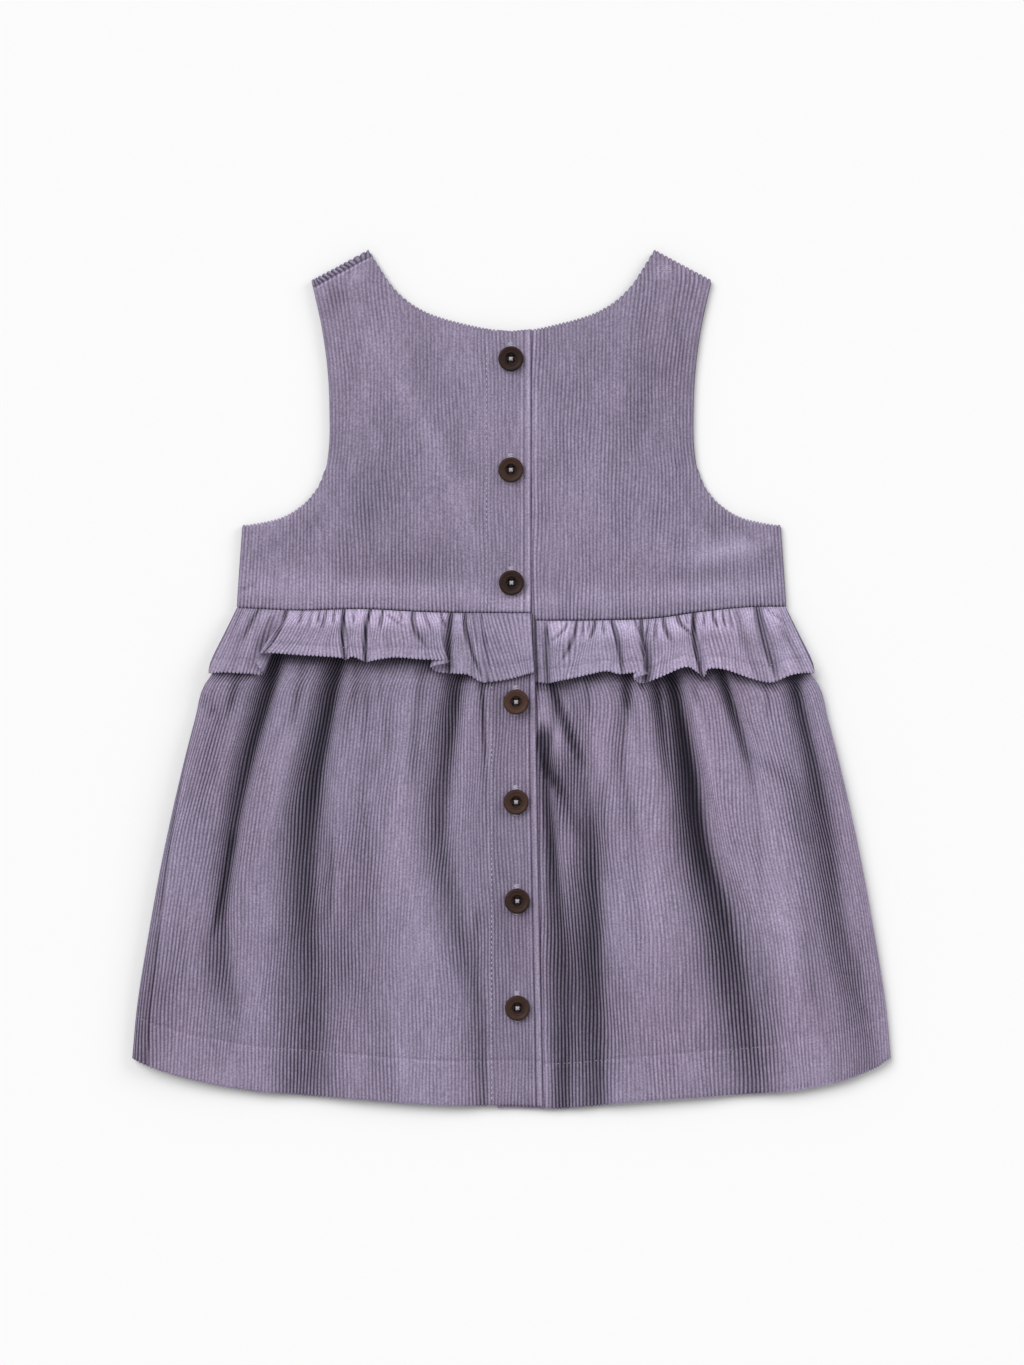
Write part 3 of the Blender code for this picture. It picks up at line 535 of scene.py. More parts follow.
SHARP = {-1: LEFT_SHARP, 1: RIGHT_SHARP}
GATHERS = {-1: LEFT_GATHERS, 1: RIGHT_GATHERS}
FLUTES = {-1: LEFT_FLUTES, 1: RIGHT_FLUTES}
PUFF = 2.1  # height of the puffs between the gathers
FRILL_SWAY = 0.9  # how far the frill's ribs sway sideways between the seam and the hem
FRILL_WAIST_SHARE = 0.1  # share of a flute's lift that it has at the waist seam
FRILL_EASE = 0.35  # more clear space under the frill
FRILL_WRAP, FRILL_TURN_DOWN = 1.8, 3.0  # width over which the frill's side edge turns down, and how far
FLAT_END_START, FLAT_END_FULL = 20.4, 22.4  # flutes between which the left half's flat end begins
FLAT_END_SLANT = 0.34  # how far, in flutes, its ribs lean to either side

# Small creases: centre, direction in degrees from +X, length and width along and across it, and depth.
# A negative depth is a ridge.
LEFT_BODICE_CREASES = table(
    "x y turn length width depth",
    (-71.0, 84.0, 70.0, 26.0, 11.0, 0.55),
    (-110.0, 50.0, 8.0, 30.0, 5.0, -0.35),
    (-60.0, 46.0, -3.0, 40.0, 5.0, -0.35),
    (-118.0, 68.0, 35.0, 14.0, 3.0, 0.4),
    (-104.0, 70.0, 52.0, 16.0, 3.5, 0.35),
    (-96.0, 78.0, 112.0, 8.0, 1.0, 0.6),
    (-101.5, 76.0, 118.0, 8.0, 0.9, 0.5),
    (-108.0, 73.0, 124.0, 7.0, 0.9, 0.4),
    (-134.0, 45.0, 24.0, 6.5, 0.9, 1.0),
    (-88.0, 190.0, 62.0, 14.0, 4.0, 0.3),
    (-78.0, 160.0, 80.0, 24.0, 5.0, 0.35),
    (-45.0, 150.0, 86.0, 30.0, 6.0, 0.3),
    (4.0, 147.0, 92.0, 9.0, 1.6, 0.5),
    (0.5, 146.5, 88.0, 8.0, 1.2, 0.35),
    (-30.0, 110.0, 84.0, 24.0, 7.0, 0.25),
)
RIGHT_BODICE_CREASES = table(
    "x y turn length width depth",
    (112.0, 64.0, 10.0, 16.0, 5.0, -0.55),
    (118.0, 72.0, -38.0, 14.0, 3.0, 0.45),
    (102.0, 72.0, -52.0, 16.0, 3.5, 0.35),
    (23.0, 45.0, 100.0, 9.0, 1.8, 0.6),
    (28.0, 42.0, 102.0, 8.0, 1.6, 0.4),
    (17.0, 47.0, 96.0, 9.0, 1.5, 0.4),
    (70.0, 44.0, 2.0, 44.0, 5.0, -0.35),
    (60.0, 130.0, 82.0, 30.0, 8.0, 0.3),
    (84.0, 170.0, 100.0, 22.0, 5.0, 0.3),
    (36.0, 160.0, 96.0, 26.0, 6.0, 0.25),
)
LEFT_SKIRT_CREASES = table(
    "x y turn length width depth",
    (-92.5, -103.0, -90.0, 28.0, 1.6, 1.0),
    (-153.0, -12.0, -40.0, 9.0, 2.0, 0.9),
    (-149.5, -16.0, -48.0, 9.0, 1.6, 0.7),
    (-144.0, -152.0, -64.0, 24.0, 6.0, 0.8),
    (-147.0, -117.0, 78.0, 16.0, 1.2, 1.2),
    (-72.0, -14.0, 84.0, 14.0, 2.0, 0.8),
    (-62.0, -24.0, 94.0, 16.0, 2.5, 0.5),
    (-82.0, -20.0, 80.0, 16.0, 2.0, 0.5),
    (-110.0, -16.0, 66.0, 14.0, 2.0, 0.5),
    (-56.0, -190.0, -84.0, 20.0, 4.0, -0.7),
    (-12.0, -168.0, 90.0, 24.0, 3.0, 0.6),
)
RIGHT_SKIRT_CREASES = table(
    "x y turn length width depth",
    (20.0, -100.0, 90.0, 26.0, 1.8, 0.8),
    (126.0, -42.0, -28.0, 12.0, 2.0, 0.8),
    (134.0, -50.0, -34.0, 12.0, 2.0, 0.6),
    (62.0, -20.0, -82.0, 14.0, 2.0, 0.6),
    (96.0, -18.0, -70.0, 14.0, 2.0, 0.6),
    (118.0, -20.0, -66.0, 12.0, 2.0, 0.5),
    (150.0, -150.0, -80.0, 34.0, 7.0, 0.7),
    (128.0, -180.0, -86.0, 30.0, 6.0, 0.5),
)
BODICE_CREASES = {-1: LEFT_BODICE_CREASES, 1: RIGHT_BODICE_CREASES}
SKIRT_CREASES = {-1: LEFT_SKIRT_CREASES, 1: RIGHT_SKIRT_CREASES}

# Patches of painted light, or with a minus of painted shade.
BODICE_PAINTED_LIGHT = table(
    "x y turn length width depth",
    (-74.0, 158.0, 84.0, 26.0, 16.0, 0.1),
    (-44.0, 126.0, 118.0, 40.0, 5.0, 0.14),
    (-28.0, 92.0, 112.0, 30.0, 4.0, 0.1),
    (-66.0, 98.0, 86.0, 34.0, 13.0, -0.1),
    (-96.0, 58.0, 4.0, 30.0, 5.0, 0.04),
    (-60.0, 56.0, 0.0, 50.0, 12.0, -0.2),
    (-86.0, 190.0, 60.0, 8.0, 5.0, -0.12),
    (-80.0, 200.0, 28.0, 8.0, 3.0, 0.2),
    (108.0, 66.0, 14.0, 22.0, 5.0, 0.2),
    (96.0, 52.0, 6.0, 30.0, 5.0, -0.08),
    (72.0, 150.0, 96.0, 30.0, 8.0, -0.06),
    (40.0, 120.0, 88.0, 50.0, 10.0, 0.05),
    (20.0, 150.0, 90.0, 40.0, 5.0, -0.08),
    (0.0, 120.0, 90.0, 60.0, 7.0, -0.06),
    (76.0, 204.0, 0.0, 6.0, 4.0, 0.14),
)
SKIRT_PAINTED_LIGHT = table(
    "x y turn length width depth",
    (-116.0, -50.0, 78.0, 40.0, 5.0, 0.14),
    (-120.0, -110.0, 82.0, 50.0, 9.0, 0.14),
    (-165.0, -120.0, 78.0, 60.0, 10.0, -0.06),
    (-40.0, -110.0, 90.0, 50.0, 14.0, 0.16),
    (-76.0, -30.0, 84.0, 30.0, 5.0, 0.16),
    (-55.0, -60.0, 88.0, 60.0, 5.0, 0.1),
    (-60.0, -190.0, 90.0, 30.0, 10.0, -0.04),
    (-132.0, -180.0, 80.0, 30.0, 12.0, 0.1),
    (-152.0, -42.0, 74.0, 28.0, 7.0, -0.2),
    (-180.0, -172.0, 78.0, 40.0, 9.0, -0.28),
    (-84.0, -142.0, 88.0, 26.0, 8.0, -0.26),
    (-97.0, -82.0, 82.0, 20.0, 4.0, -0.2),
    (-40.0, -190.0, 90.0, 26.0, 8.0, 0.1),
    (44.0, -60.0, 92.0, 60.0, 4.0, 0.12),
    (72.0, -100.0, 90.0, 70.0, 8.0, 0.15),
    (130.0, -100.0, 102.0, 60.0, 10.0, 0.1),
    (96.0, -30.0, 102.0, 30.0, 3.0, 0.12),
    (-170.0, -130.0, 78.0, 60.0, 6.0, 0.08),
    (60.0, -180.0, 90.0, 40.0, 12.0, -0.08),
    (150.0, -190.0, 96.0, 30.0, 10.0, 0.08),
    (17.5, -190.0, 94.0, 50.0, 2.6, 0.1),
    (21.0, -27.0, -68.0, 13.0, 3.2, 0.4),
    (26.5, -88.0, 84.0, 34.0, 6.0, 0.22),
    (2.0, -203.0, 0.0, 14.0, 7.0, 0.16),
    (-106.0, -200.0, 0.0, 15.0, 9.0, -0.14),
    (-140.0, -200.0, 0.0, 22.0, 9.0, 0.1),
    (120.0, -140.0, 100.0, 50.0, 8.0, -0.08),
    (25.0, -52.0, 86.0, 24.0, 7.0, -0.4),
    (31.0, -120.0, 88.0, 90.0, 12.0, -0.28),
    (45.0, -70.0, 94.0, 24.0, 4.0, -0.25),
    (146.0, -72.0, 104.0, 22.0, 6.0, -0.4),
    (140.0, -135.0, 96.0, 22.0, 6.0, 0.18),
)

# tone is how light a button is, from 0 to 1.
BUTTONS = table(
    "x y tone",
    (-0.3, 160.0, 0.3),
    (-0.3, 104.5, 0.58),
    (0.0, 48.0, 0.32),
    (2.3, -11.5, 0.88),
    (2.3, -61.5, 0.66),
    (2.9, -111.0, 0.42),
    (3.0, -164.5, 0.56),
)

armhole_out = curve(ARMHOLE["y"], ARMHOLE["out"])
armhole_y = curve(ARMHOLE["out"][6::-1], ARMHOLE["y"][6::-1])
neck_y = curve(NECK["out"], NECK["y"])
bodice_side_out = curve(BODICE_SIDE["y"], BODICE_SIDE["out"])
waist_y = {-1: curve(LEFT_WAIST["x"], LEFT_WAIST["y"]), 1: curve(RIGHT_WAIST["x"], RIGHT_WAIST["y"])}
frill_side_out = curve(FRILL_SIDE["y"], FRILL_SIDE["out"])
skirt_side_out = curve(SKIRT_SIDE["y"], SKIRT_SIDE["out"])
hem_y = curve(HEM["out"], HEM["y"])
skirt_crest = curve(SKIRT_CREST["y"], SKIRT_CREST["height"])


def creases(x, y, rows):
    """The sum of the rows' troughs: depth times a Gaussian along and a Gaussian across each crease."""
    total = np.zeros(np.broadcast(x, y).shape)
    for cx, cy, turn, length, width, depth in zip(*rows.values()):
        c, s = math.cos(math.radians(turn)), math.sin(math.radians(turn))
        along = (x - cx) * c + (y - cy) * s
        across = (y - cy) * c - (x - cx) * s
        total += depth * np.exp(-((along / length) ** 2) - (across / width) ** 2)
    return total


def bowed_creases(x, down, rows, measure, spread=1.0):
    """The sum over the rows of the measured column times a Gaussian across each bowed crease.

    Between start and end a crease follows the parabola through from_x, by_x and to_x, and past them it
    fades. spread multiplies its widths.
    """
    total = np.zeros(np.broadcast(x, down).shape)
    columns = (rows[key] for key in BOWED.split()[:7])
    for weight, from_x, by_x, to_x, start, end, left, right in zip(rows[measure], *columns):
        share = (down - start) / (end - start)
        along = np.clip(share, 0, 1)
        bow = by_x - (from_x + to_x) / 2
        off = x - from_x - (to_x - from_x) * along - 4 * bow * along * (1 - along)
        present = ease(share, -0.15, 0.05) * ease(share, 1.1, 0.7)
        total += weight * present * np.exp(-((off / np.where(off < 0, left, right) / spread) ** 2))
    return total


def groove(distance, width, depth):
    """A soft trough of that depth where distance is 0."""
    return depth * np.exp(-((distance / width) ** 2))


def top_y(out):
    """The shoulder seam's and neckline's y at a distance out from the middle line."""
    along = np.clip((out - STRAP_INNER_OUT) / (SHOULDER_OUT - STRAP_INNER_OUT), 0, 1)
    shoulder = NECK_TOP_Y + (SHOULDER_Y - NECK_TOP_Y) * along
    return np.where(out > STRAP_INNER_OUT, shoulder, neck_y(out))


def front_top_y(out):
    """The front's neckline, lower than the back's in the middle."""
    return top_y(out) - FRONT_NECK_DROP * (1 - np.clip(out / STRAP_INNER_OUT, 0, 1) ** 2)


def front_waist_y(x):
    """The front's waist seam, the same on both sides as the back's on its left half."""
    return waist_y[-1](-np.abs(x))


def bodice_edge_out(y):
    """How far out the bodice reaches at a height y: the side seam, and above it the armhole."""
    return np.where(y < BODICE_SIDE_TOP_Y, bodice_side_out(y), armhole_out(y))


def strap_share(x):
    """1 on a strap, and 0 on the rest of the bodice."""
    return ease(np.abs(x), STRAP_EDGE_OUT, STRAP_FULL_OUT)


def lap_share(x):
    """1 where the left half lies on the right half, and 0 away from the lap."""
    return ease(x, LAP_START, LAP_FULL)


def edge_roll(inward):
    """How far a folded edge rolls down at a distance inside it."""
    return EDGE_ROLL * (1 - rounded(inward, EDGE_ROLL_WIDTH))


def shoulder_distance(x, y):
    """Distance below the shoulder's folded edge, measured square to it."""
    run, fall = SHOULDER_OUT - STRAP_INNER_OUT, NECK_TOP_Y - SHOULDER_Y
    return ((NECK_TOP_Y - y) * run - (np.abs(x) - STRAP_INNER_OUT) * fall) / math.hypot(run, fall)


def bodice_height(x, y, side):
    """Outer surface of the back bodice.

    A low loft, rounded off at the edges and rising to the waist seam, less its creases and seams.
    """
    out = np.abs(x)
    to_side, to_top = bodice_edge_out(y) - out, top_y(out) - y
    inward = np.minimum(to_side, to_top + NECK_ROUNDING_START)
    above_waist = y - waist_y[side](x)
    near_waist = np.exp(-((above_waist / WAIST_RISE_LENGTH) ** 2))
    loft = BODICE_LOFT * ease(out, LOFT_START, LOFT_FULL) * (1 - near_waist) + WAIST_RISE * near_waist
    height = EDGE_HEIGHT + rounded(inward, SIDE_ROUNDING) * (BODICE_REST + loft)
    height = height - edge_roll(np.minimum(to_side, to_top))
    height = height - WAIST_DIP * (1 - rounded(above_waist, WAIST_DIP_LENGTH))
    height = height - groove(above_waist - WAIST_LINE_ABOVE, 1.2, 0.3)
    if side < 0:
        height = height + lap_share(x) * (LAYER + LAP_CLEAR + LAP_BODICE_RISE * near_waist)
    fade = rounded(np.minimum(inward, above_waist), 6.0)
    height = height - fade * creases(x, y, BODICE_CREASES[side])
    if side < 0:
        height = height - groove(x - LAP_STITCH_BODICE, STITCH_DIP_WIDTH, 0.45)
        height = height - edge_roll(LAP_EDGE_BODICE - x)
        height = height - strap_share(x) * groove(shoulder_distance(x, y) - SHOULDER_WRAP, 0.6, 0.5)
    return height


def valley_sum(x, y, valleys, measure, shift, left_reach, right_reach):
    """The sum over the valleys of the measured column times a Gaussian across each.

    The Gaussian's middle lies shift right of the floor, and each reach stretches its side of it; all
    three are shares of the valley's width. Above the table's top height the floor keeps its lean.
    """
    total = np.zeros(np.broadcast(x, y).shape)
    for valley in valleys.values():
        width = curve(VALLEY_Y, valley["width"])(y)
        lean = (valley["x"][-1] - valley["x"][-2]) / (VALLEY_Y[-1] - VALLEY_Y[-2])
        floor_x = curve(VALLEY_Y, valley["x"])(y) + lean * np.maximum(y - VALLEY_Y[-1], 0)
        off = (x - floor_x) / width - shift
        reach = np.where(off < 0, left_reach, right_reach)
        total += np.maximum(curve(VALLEY_Y, valley[measure])(y), 0) * np.exp(-((off / reach) ** 2))
    return total


def valley_depth(x, y, valleys):
    """How strongly the valleys press the skirt down, wider on their left."""
    return valley_sum(x, y, valleys, "depth", 0.0, VALLEY_LEFT_REACH, VALLEY_RIGHT_REACH)


def front_skirt_underside(y):
    """The front skirt lies on the front frill, and below the frill's hem on the surface."""
    return LAYER * ease(y, FRONT_STEP_LOW, FRONT_STEP_HIGH)


def skirt_rest(y):
    """Outer surface of the back skirt where it lies flat on the front skirt."""
    return front_skirt_underside(y) + LAYER + CLOTH


def skirt_envelope(y, out, inward):
    """The height of the skirt's folds if there were no valleys between them."""
    middle = MIDDLE_FOLD_SHARE + (1 - MIDDLE_FOLD_SHARE) * ease(out, MIDDLE_OUT, FOLDS_OUT)
    return skirt_crest(y) * middle * rounded(inward, SIDE_ROUNDING)


def skirt_lap(x, y, side):
    """What the left half climbs at the lap: over the right skirt and, at the waist, the right frill too."""
    if side > 0:
        return 0.0
    return lap_share(x) * (LAYER + LAP_CLEAR + LAP_SKIRT_RISE * ease(y, LAP_RISE_START, LAP_RISE_FULL))


def left_skirt_edge(y):
    """The left half's folded edge, which leans towards the hem."""
    down = np.clip((SKIRT_TOP_Y - y) / (SKIRT_TOP_Y - HEM_MIDDLE_Y), 0, 1)
    return LAP_EDGE_SKIRT + (LAP_EDGE_HEM - LAP_EDGE_SKIRT) * down**LAP_EDGE_BEND


def right_skirt_edge(y):
    """The right half's edge, under the left half."""
    return -UNDERLAP + 0 * y


def left_hem_y(x):
    """The hem of the back's left half."""
    return hem_y(np.abs(x))


def right_hem_y(x):
    """The hem of the back's right half, lower at the lap."""
    return hem_y(np.abs(x)) - RIGHT_HEM_DROP * ease(x, RIGHT_DROP_START, RIGHT_DROP_FULL)


SKIRT_HEM = {-1: left_hem_y, 1: right_hem_y}
SKIRT_EDGE = {-1: left_skirt_edge, 1: right_skirt_edge}


def side_seam_distance(x, y):
    """Distance in from the side seam that shows on the left of the skirt, further in towards the hem."""
    drift = SIDE_SEAM_DRIFT * ease(y, SIDE_SEAM_TOP_Y, SIDE_SEAM_FOOT_Y)
    return skirt_side_out(y) - np.abs(x) - drift


def skirt_folds(x, y, side):
    """The back skirt's folds alone, with the valleys between them."""
    out = np.abs(x)
    envelope = skirt_envelope(y, out, skirt_side_out(y) - out)
    return skirt_rest(y) + envelope * np.exp(-valley_depth(x, y, VALLEYS[side])) + skirt_lap(x, y, side)


def skirt_height(x, y, side):
    """Outer surface of the back skirt: its folds, less creases and seams."""
    inward = skirt_side_out(y) - np.abs(x)
    above_hem = y - SKIRT_HEM[side](x)
    free = rounded(np.minimum(inward, above_hem - 3.0), 8.0) * crease_share(x, side, -13.0, -9.0)
    sunk = creases(x, y, SKIRT_CREASES[side]) + bowed_creases(x, -y, SHARP[side], "deep")
    deepest = 0.25 + 0.5 * skirt_envelope(y, np.abs(x), inward)
    height = skirt_folds(x, y, side) - free * np.minimum(sunk, deepest)
    height = height - edge_roll(np.minimum(inward, above_hem))
    height = height - groove(above_hem - HEM_TURN_UP, STITCH_DIP_WIDTH, STITCH_DIP)
    if side < 0:
        height = height - groove(x - LAP_STITCH_SKIRT, STITCH_DIP_WIDTH, STITCH_DIP)
        height = height - edge_roll(left_skirt_edge(y) - x)
        height = height - groove(side_seam_distance(x, y), 0.6, 0.5)
    return height


def crease_share(x, side, start, full):
    """How much of a crease there is at x: on the left half's facing it falls off from start to full."""
    return 1.0 if side > 0 else 1 - (1 - LAP_CREASE_SHARE) * ease(x, start, full)


def frill_bed(x, y, side):
    """The lowest the frill's outer surface can lie: over the folds, and turned down past the side edge."""
    inward = frill_side_out(y) - np.abs(x)
    over = skirt_rest(y) + FRILL_LAYER + FRILL_EASE
    over = over + skirt_envelope(y, np.abs(x), inward) + skirt_lap(x, y, side)
    past = np.clip(1 - inward / FRILL_WRAP, 0, 1)
    return over - FRILL_TURN_DOWN * (1 - np.sqrt(1 - past**2))


# ---------------------------------------------------------------------------------------------
# Meshes
# ---------------------------------------------------------------------------------------------


def new_mesh_object(name, points, faces, material, smooth_angle=55.0):
    """An object at the origin, from points in millimetres and an array of faces with as many corners each.

    It is shaded smooth, apart from edges that turn by more than smooth_angle degrees.
    """
    mesh = bpy.data.meshes.new(name)
    mesh.vertices.add(len(points))
    mesh.vertices.foreach_set("co", (points * MM).astype(np.float32).ravel())
    mesh.loops.add(faces.size)
    mesh.loops.foreach_set("vertex_index", faces.astype(np.int32).ravel())
    mesh.polygons.add(len(faces))
    mesh.polygons.foreach_set("loop_start", np.arange(0, faces.size, faces.shape[1], dtype=np.int32))
    mesh.update(calc_edges=True)
    mesh.validate()
    mesh.shade_smooth()
    mesh.set_sharp_from_angle(angle=math.radians(smooth_angle))
    mesh.materials.append(material)
    obj = bpy.data.objects.new(name, mesh)
    bpy.context.scene.collection.objects.link(obj)
    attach(obj, "root")
    return obj


def set_attribute(obj, name, values):
    """A value at each point, for the material."""
    layer = obj.data.attributes.new(name, "FLOAT", "POINT")
    layer.data.foreach_set("value", values.astype(np.float32))


def quads_of(index):
    """The faces of a grid of point numbers."""
    corners = [index[:-1, :-1], index[:-1, 1:], index[1:, 1:], index[1:, :-1]]
    return np.stack(corners, -1).reshape(-1, 4)


def rim_of(faces, offset):
    """Faces that join each open edge of faces to the same edge of a second skin, offset points further on."""
    start, end = faces.ravel(), np.roll(faces, -1, axis=1).ravel()
    key = np.minimum(start, end) * offset + np.maximum(start, end)
    _, first, uses = np.unique(key, return_index=True, return_counts=True)
    open_edges = first[uses == 1]
    a, b = start[open_edges], end[open_edges]
    return np.stack([b, a, a + offset, b + offset], -1)


def wales(count):
    """Positions across count wales, in wales, and the rib's rise at each: groove, flank, crest, flank."""
    across = (np.arange(count)[:, None] + WALE_STEPS).ravel()
    return np.append(across, count), np.append(np.tile(WALE_RISE, count), 0.0)


def cloth_shell(name, node, surface, faces, facing, material, thickness=SHELL):
    """A closed shell of corduroy that replaces a cloth node.

    surface holds points, unit normals, wale, rise, along, shade and crisp, one row a point. The outer
    skin is the points lowered by what the rib lacks of its full height, less where the crisp attribute is
    low, and the inner skin is the points moved in by thickness. Where facing is -1 the outer side
    looks down.
    """
    points, normals = surface["points"], surface["normals"] * facing
    first = faces[len(faces) // 2]
    turn = np.cross(points[first[1]] - points[first[0]], points[first[3]] - points[first[0]])
    if (turn @ normals[first[0]]) < 0:
        faces = faces[:, ::-1]
    rib_height = RIB_HEIGHT * (SMOOTHEST_RIB + (1 - SMOOTHEST_RIB) * surface["crisp"])
    outer = points + normals * (rib_height * (surface["rise"] - 1))[:, None]
    inner = points - normals * thickness
    count = len(points)
    skins = np.concatenate([faces, faces[:, ::-1] + count, rim_of(faces, count)])
    obj = new_mesh_object(name, np.concatenate([outer, inner]), skins, material)
    for key in ("wale", "along", "shade", "crisp"):
        set_attribute(obj, key, np.concatenate([surface[key], surface[key]]))
    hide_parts(node)
    return obj


def normals_of(height, x, y):
    """Unit normals of the surface z = height(x, y), from its slopes over a tenth of a millimetre."""
    step = 0.1
    slope_x = (height(x + step, y) - height(x - step, y)) / (2 * step)
    slope_y = (height(x, y + step) - height(x, y - step)) / (2 * step)
    normal = np.stack([-slope_x, -slope_y, np.ones_like(slope_x)], -1)
    return normal / np.linalg.norm(normal, axis=-1, keepdims=True)


def rows_between(count):
    """Shares from 0 to 1 in count even steps, with two more rows close to each end, where edges roll."""
    even = np.linspace(0, 1, count + 1)
    near = np.array([0.006, 0.018])
    return np.concatenate([even[:1], near, even[1:-1], 1 - near[::-1], even[-1:]])


def rib_wander(share, y):
    """How far a rib strays sideways: slow waves along it that differ from rib to rib, none at the edges."""
    waves = sum(
        sway * np.sin(y / length + differs * share + phase) for sway, length, differs, phase in RIB_WAVES
    )
    return waves * ease(share, 0.0, 0.06) * ease(share, 1.0, 0.94)


def bodice_strays(out, y, middle_edge):
    """How far a bodice's ribs stray sideways: not at all by the armhole and by the middle edge."""
    free = ease(out, ARMHOLE_OUT - STRAY_START, ARMHOLE_OUT - STRAY_FULL)
    free = free * ease(out, -middle_edge, STRAY_FREE - middle_edge)
    return free * rib_wander(out / (2 * BODICE_SIDE_OUT) + 0.25, y)


def wrap_rows():
    """Shares of the way up to the shoulder at which rows are put in along the strip's seam."""
    return 1 - (SHOULDER_WRAP + WRAP_ROWS) / STRAP_LENGTH


def lean_in_wrap(out, y, top):
    """Moves a strap's points in the strip outwards along the shoulder, the more the nearer to its edge."""
    share = np.clip(1 - (top - y) * math.cos(math.atan(SHOULDER_FALL)) / SHOULDER_WRAP, 0, 1)
    inner_end = ease(out, STRAP_INNER_OUT, STRAP_INNER_OUT + 7.0)
    outer_end = ease(out, SHOULDER_OUT - 0.5, SHOULDER_OUT - 7.0)
    shift = WRAP_SLANT * share * (inner_end * outer_end)
    return out + shift, y - shift * SHOULDER_FALL


def ribs_above_turn(turn_out, top):
    """How much each rib above the armhole's turn leans, and the y at which it meets the top edge.

    A rib leans by the square of its distance out at the top, so that the outermost follows the armhole.
    That distance solves turn_out = at_top - bend at_top^2. Where the rib meets the edge is then stepped
    to: from the edge's y to how far the rib has leant there, and from that to the edge's y.
    """
    bend = (SHOULDER_OUT - ARMHOLE_OUT) / SHOULDER_OUT**2
    at_top = (1 - np.sqrt(1 - 4 * bend * np.maximum(turn_out, 0))) / (2 * bend)
    lean = (at_top / SHOULDER_OUT) ** 2
    high_top = top(np.maximum(at_top, np.abs(turn_out) * (turn_out < 0)))
    for _ in range(4):
        top_out = turn_out + lean * (armhole_out(np.minimum(high_top, SHOULDER_Y)) - ARMHOLE_OUT)
        high_top = top(np.abs(top_out))
    return lean, high_top


def bodice_surface(side, middle_edge, waist, top, trim, height, finish, rows, wrapped=False):
    """Half a bodice in two grids that share a row: waist to armhole turn, and armhole turn to neck.

    Ribs run up the cloth, upright in the middle and leaning with the armhole near it, by the square of
    the distance out. Columns outside the armhole's turn end on its lower curve. The top edges are
    lowered by trim. A wrapped half has the folded strip along its shoulder.
    """
    count = int(round((BODICE_SIDE_OUT + middle_edge) / WALE))
    across, rise = wales(count)
    out = BODICE_SIDE_OUT - across * (BODICE_SIDE_OUT + middle_edge) / count
    first_in = int(np.searchsorted(-out, -ARMHOLE_OUT))
    ends = rise - 0.5

    low_bottom = waist(side * out) - SEAM_TEETH * ends
    on_armhole = armhole_y(np.clip(out, ARMHOLE_OUT, UNDERARM_OUT))
    low_top = np.where(out > ARMHOLE_OUT, on_armhole, ARMHOLE_TURN_Y)
    low_top = low_top + (NECK_TEETH * ends - trim) * (np.arange(len(out)) < first_in)
    low_y = low_bottom + (low_top - low_bottom) * rows_between(rows[0])[:, None]
    seam_lean = ease(out, ARMHOLE_OUT, BODICE_SIDE_OUT)
    low_x = out + seam_lean * (bodice_side_out(low_y) - BODICE_SIDE_OUT)
    low_x = low_x + bodice_strays(out, low_y, middle_edge)

    turn_out = out[first_in:]
    lean, high_top = ribs_above_turn(turn_out, top)
    high_top = high_top + NECK_TEETH * ends[first_in:] - trim
    share = rows_between(rows[1])[1:]
    if wrapped:
        share = np.unique(np.concatenate([share, wrap_rows()]))
    high_y = ARMHOLE_TURN_Y + (high_top - ARMHOLE_TURN_Y) * share[:, None]
    high_x = turn_out + lean * (armhole_out(high_y) - ARMHOLE_OUT)
    high_x = high_x + bodice_strays(turn_out, high_y, middle_edge)
    if wrapped:
        high_x, high_y = lean_in_wrap(high_x, high_y, high_top)

    low_index = np.arange(low_y.size).reshape(low_y.shape)
    high_index = low_y.size + np.arange(high_y.size).reshape(high_y.shape)
    high_index = np.concatenate([low_index[-1:, first_in:], high_index])
    faces = np.concatenate([quads_of(low_index), quads_of(high_index)])
    x = side * np.concatenate([low_x.ravel(), high_x.ravel()])
    y = np.concatenate([low_y.ravel(), high_y.ravel()])
    wale, rise = (
        np.concatenate([np.tile(column, len(low_y)), np.tile(column[first_in:], len(high_y))])
        for column in (across, rise)
    )
    return as_surface(x, y, height, wale, rise, finish), faces


def grid_surface(x, y, height, across, rise, finish):
    """A surface on one grid of rows, whose columns lie across wales with that rise, and its faces."""
    index = np.arange(y.size).reshape(y.shape)
    wale, rise = np.tile(across, len(y)), np.tile(rise, len(y))
    return as_surface(x.ravel(), y.ravel(), height, wale, rise, finish), quads_of(index)


def joined_halves(make_half):
    """The two halves that make_half(side) gives, welded where they meet: a surface and its faces."""
    parts, all_faces, count = [], [], 0
    for side in (-1, 1):
        surface, faces = make_half(side)
        parts.append(surface)
        all_faces.append((faces if side > 0 else faces[:, ::-1]) + count)
        count += len(surface["points"])
    joined = {key: np.concatenate([part[key] for part in parts]) for key in parts[0]}
    faces, keep = weld(joined["points"], np.concatenate(all_faces))
    return {key: value[keep] for key, value in joined.items()}, faces


def weld(points, faces):
    """Joins points closer than a hundredth of a millimetre: the faces and the numbers of the points kept."""
    _, keep, index = np.unique(np.round(points, 2), axis=0, return_index=True, return_inverse=True)
    return index.reshape(-1)[faces], keep


def as_surface(x, y, height, wale, rise, finish):
    """What cloth_shell needs for a surface z = height(x, y), with finish(x, y) giving shade and crisp."""
    shade, crisp = finish(x, y)
    return {
        "points": np.stack([x, y, height(x, y)], -1),
        "normals": normals_of(height, x, y),
        "wale": wale,
        "rise": rise,
        "along": y,
        "shade": shade,
        "crisp": np.clip(crisp, 0, 1),
    }


def plain_finish(x, y):
    """A surface with no deep folds: its shade, and how crisp its ribs are."""
    return np.zeros_like(x), 0.5 + np.zeros_like(x)


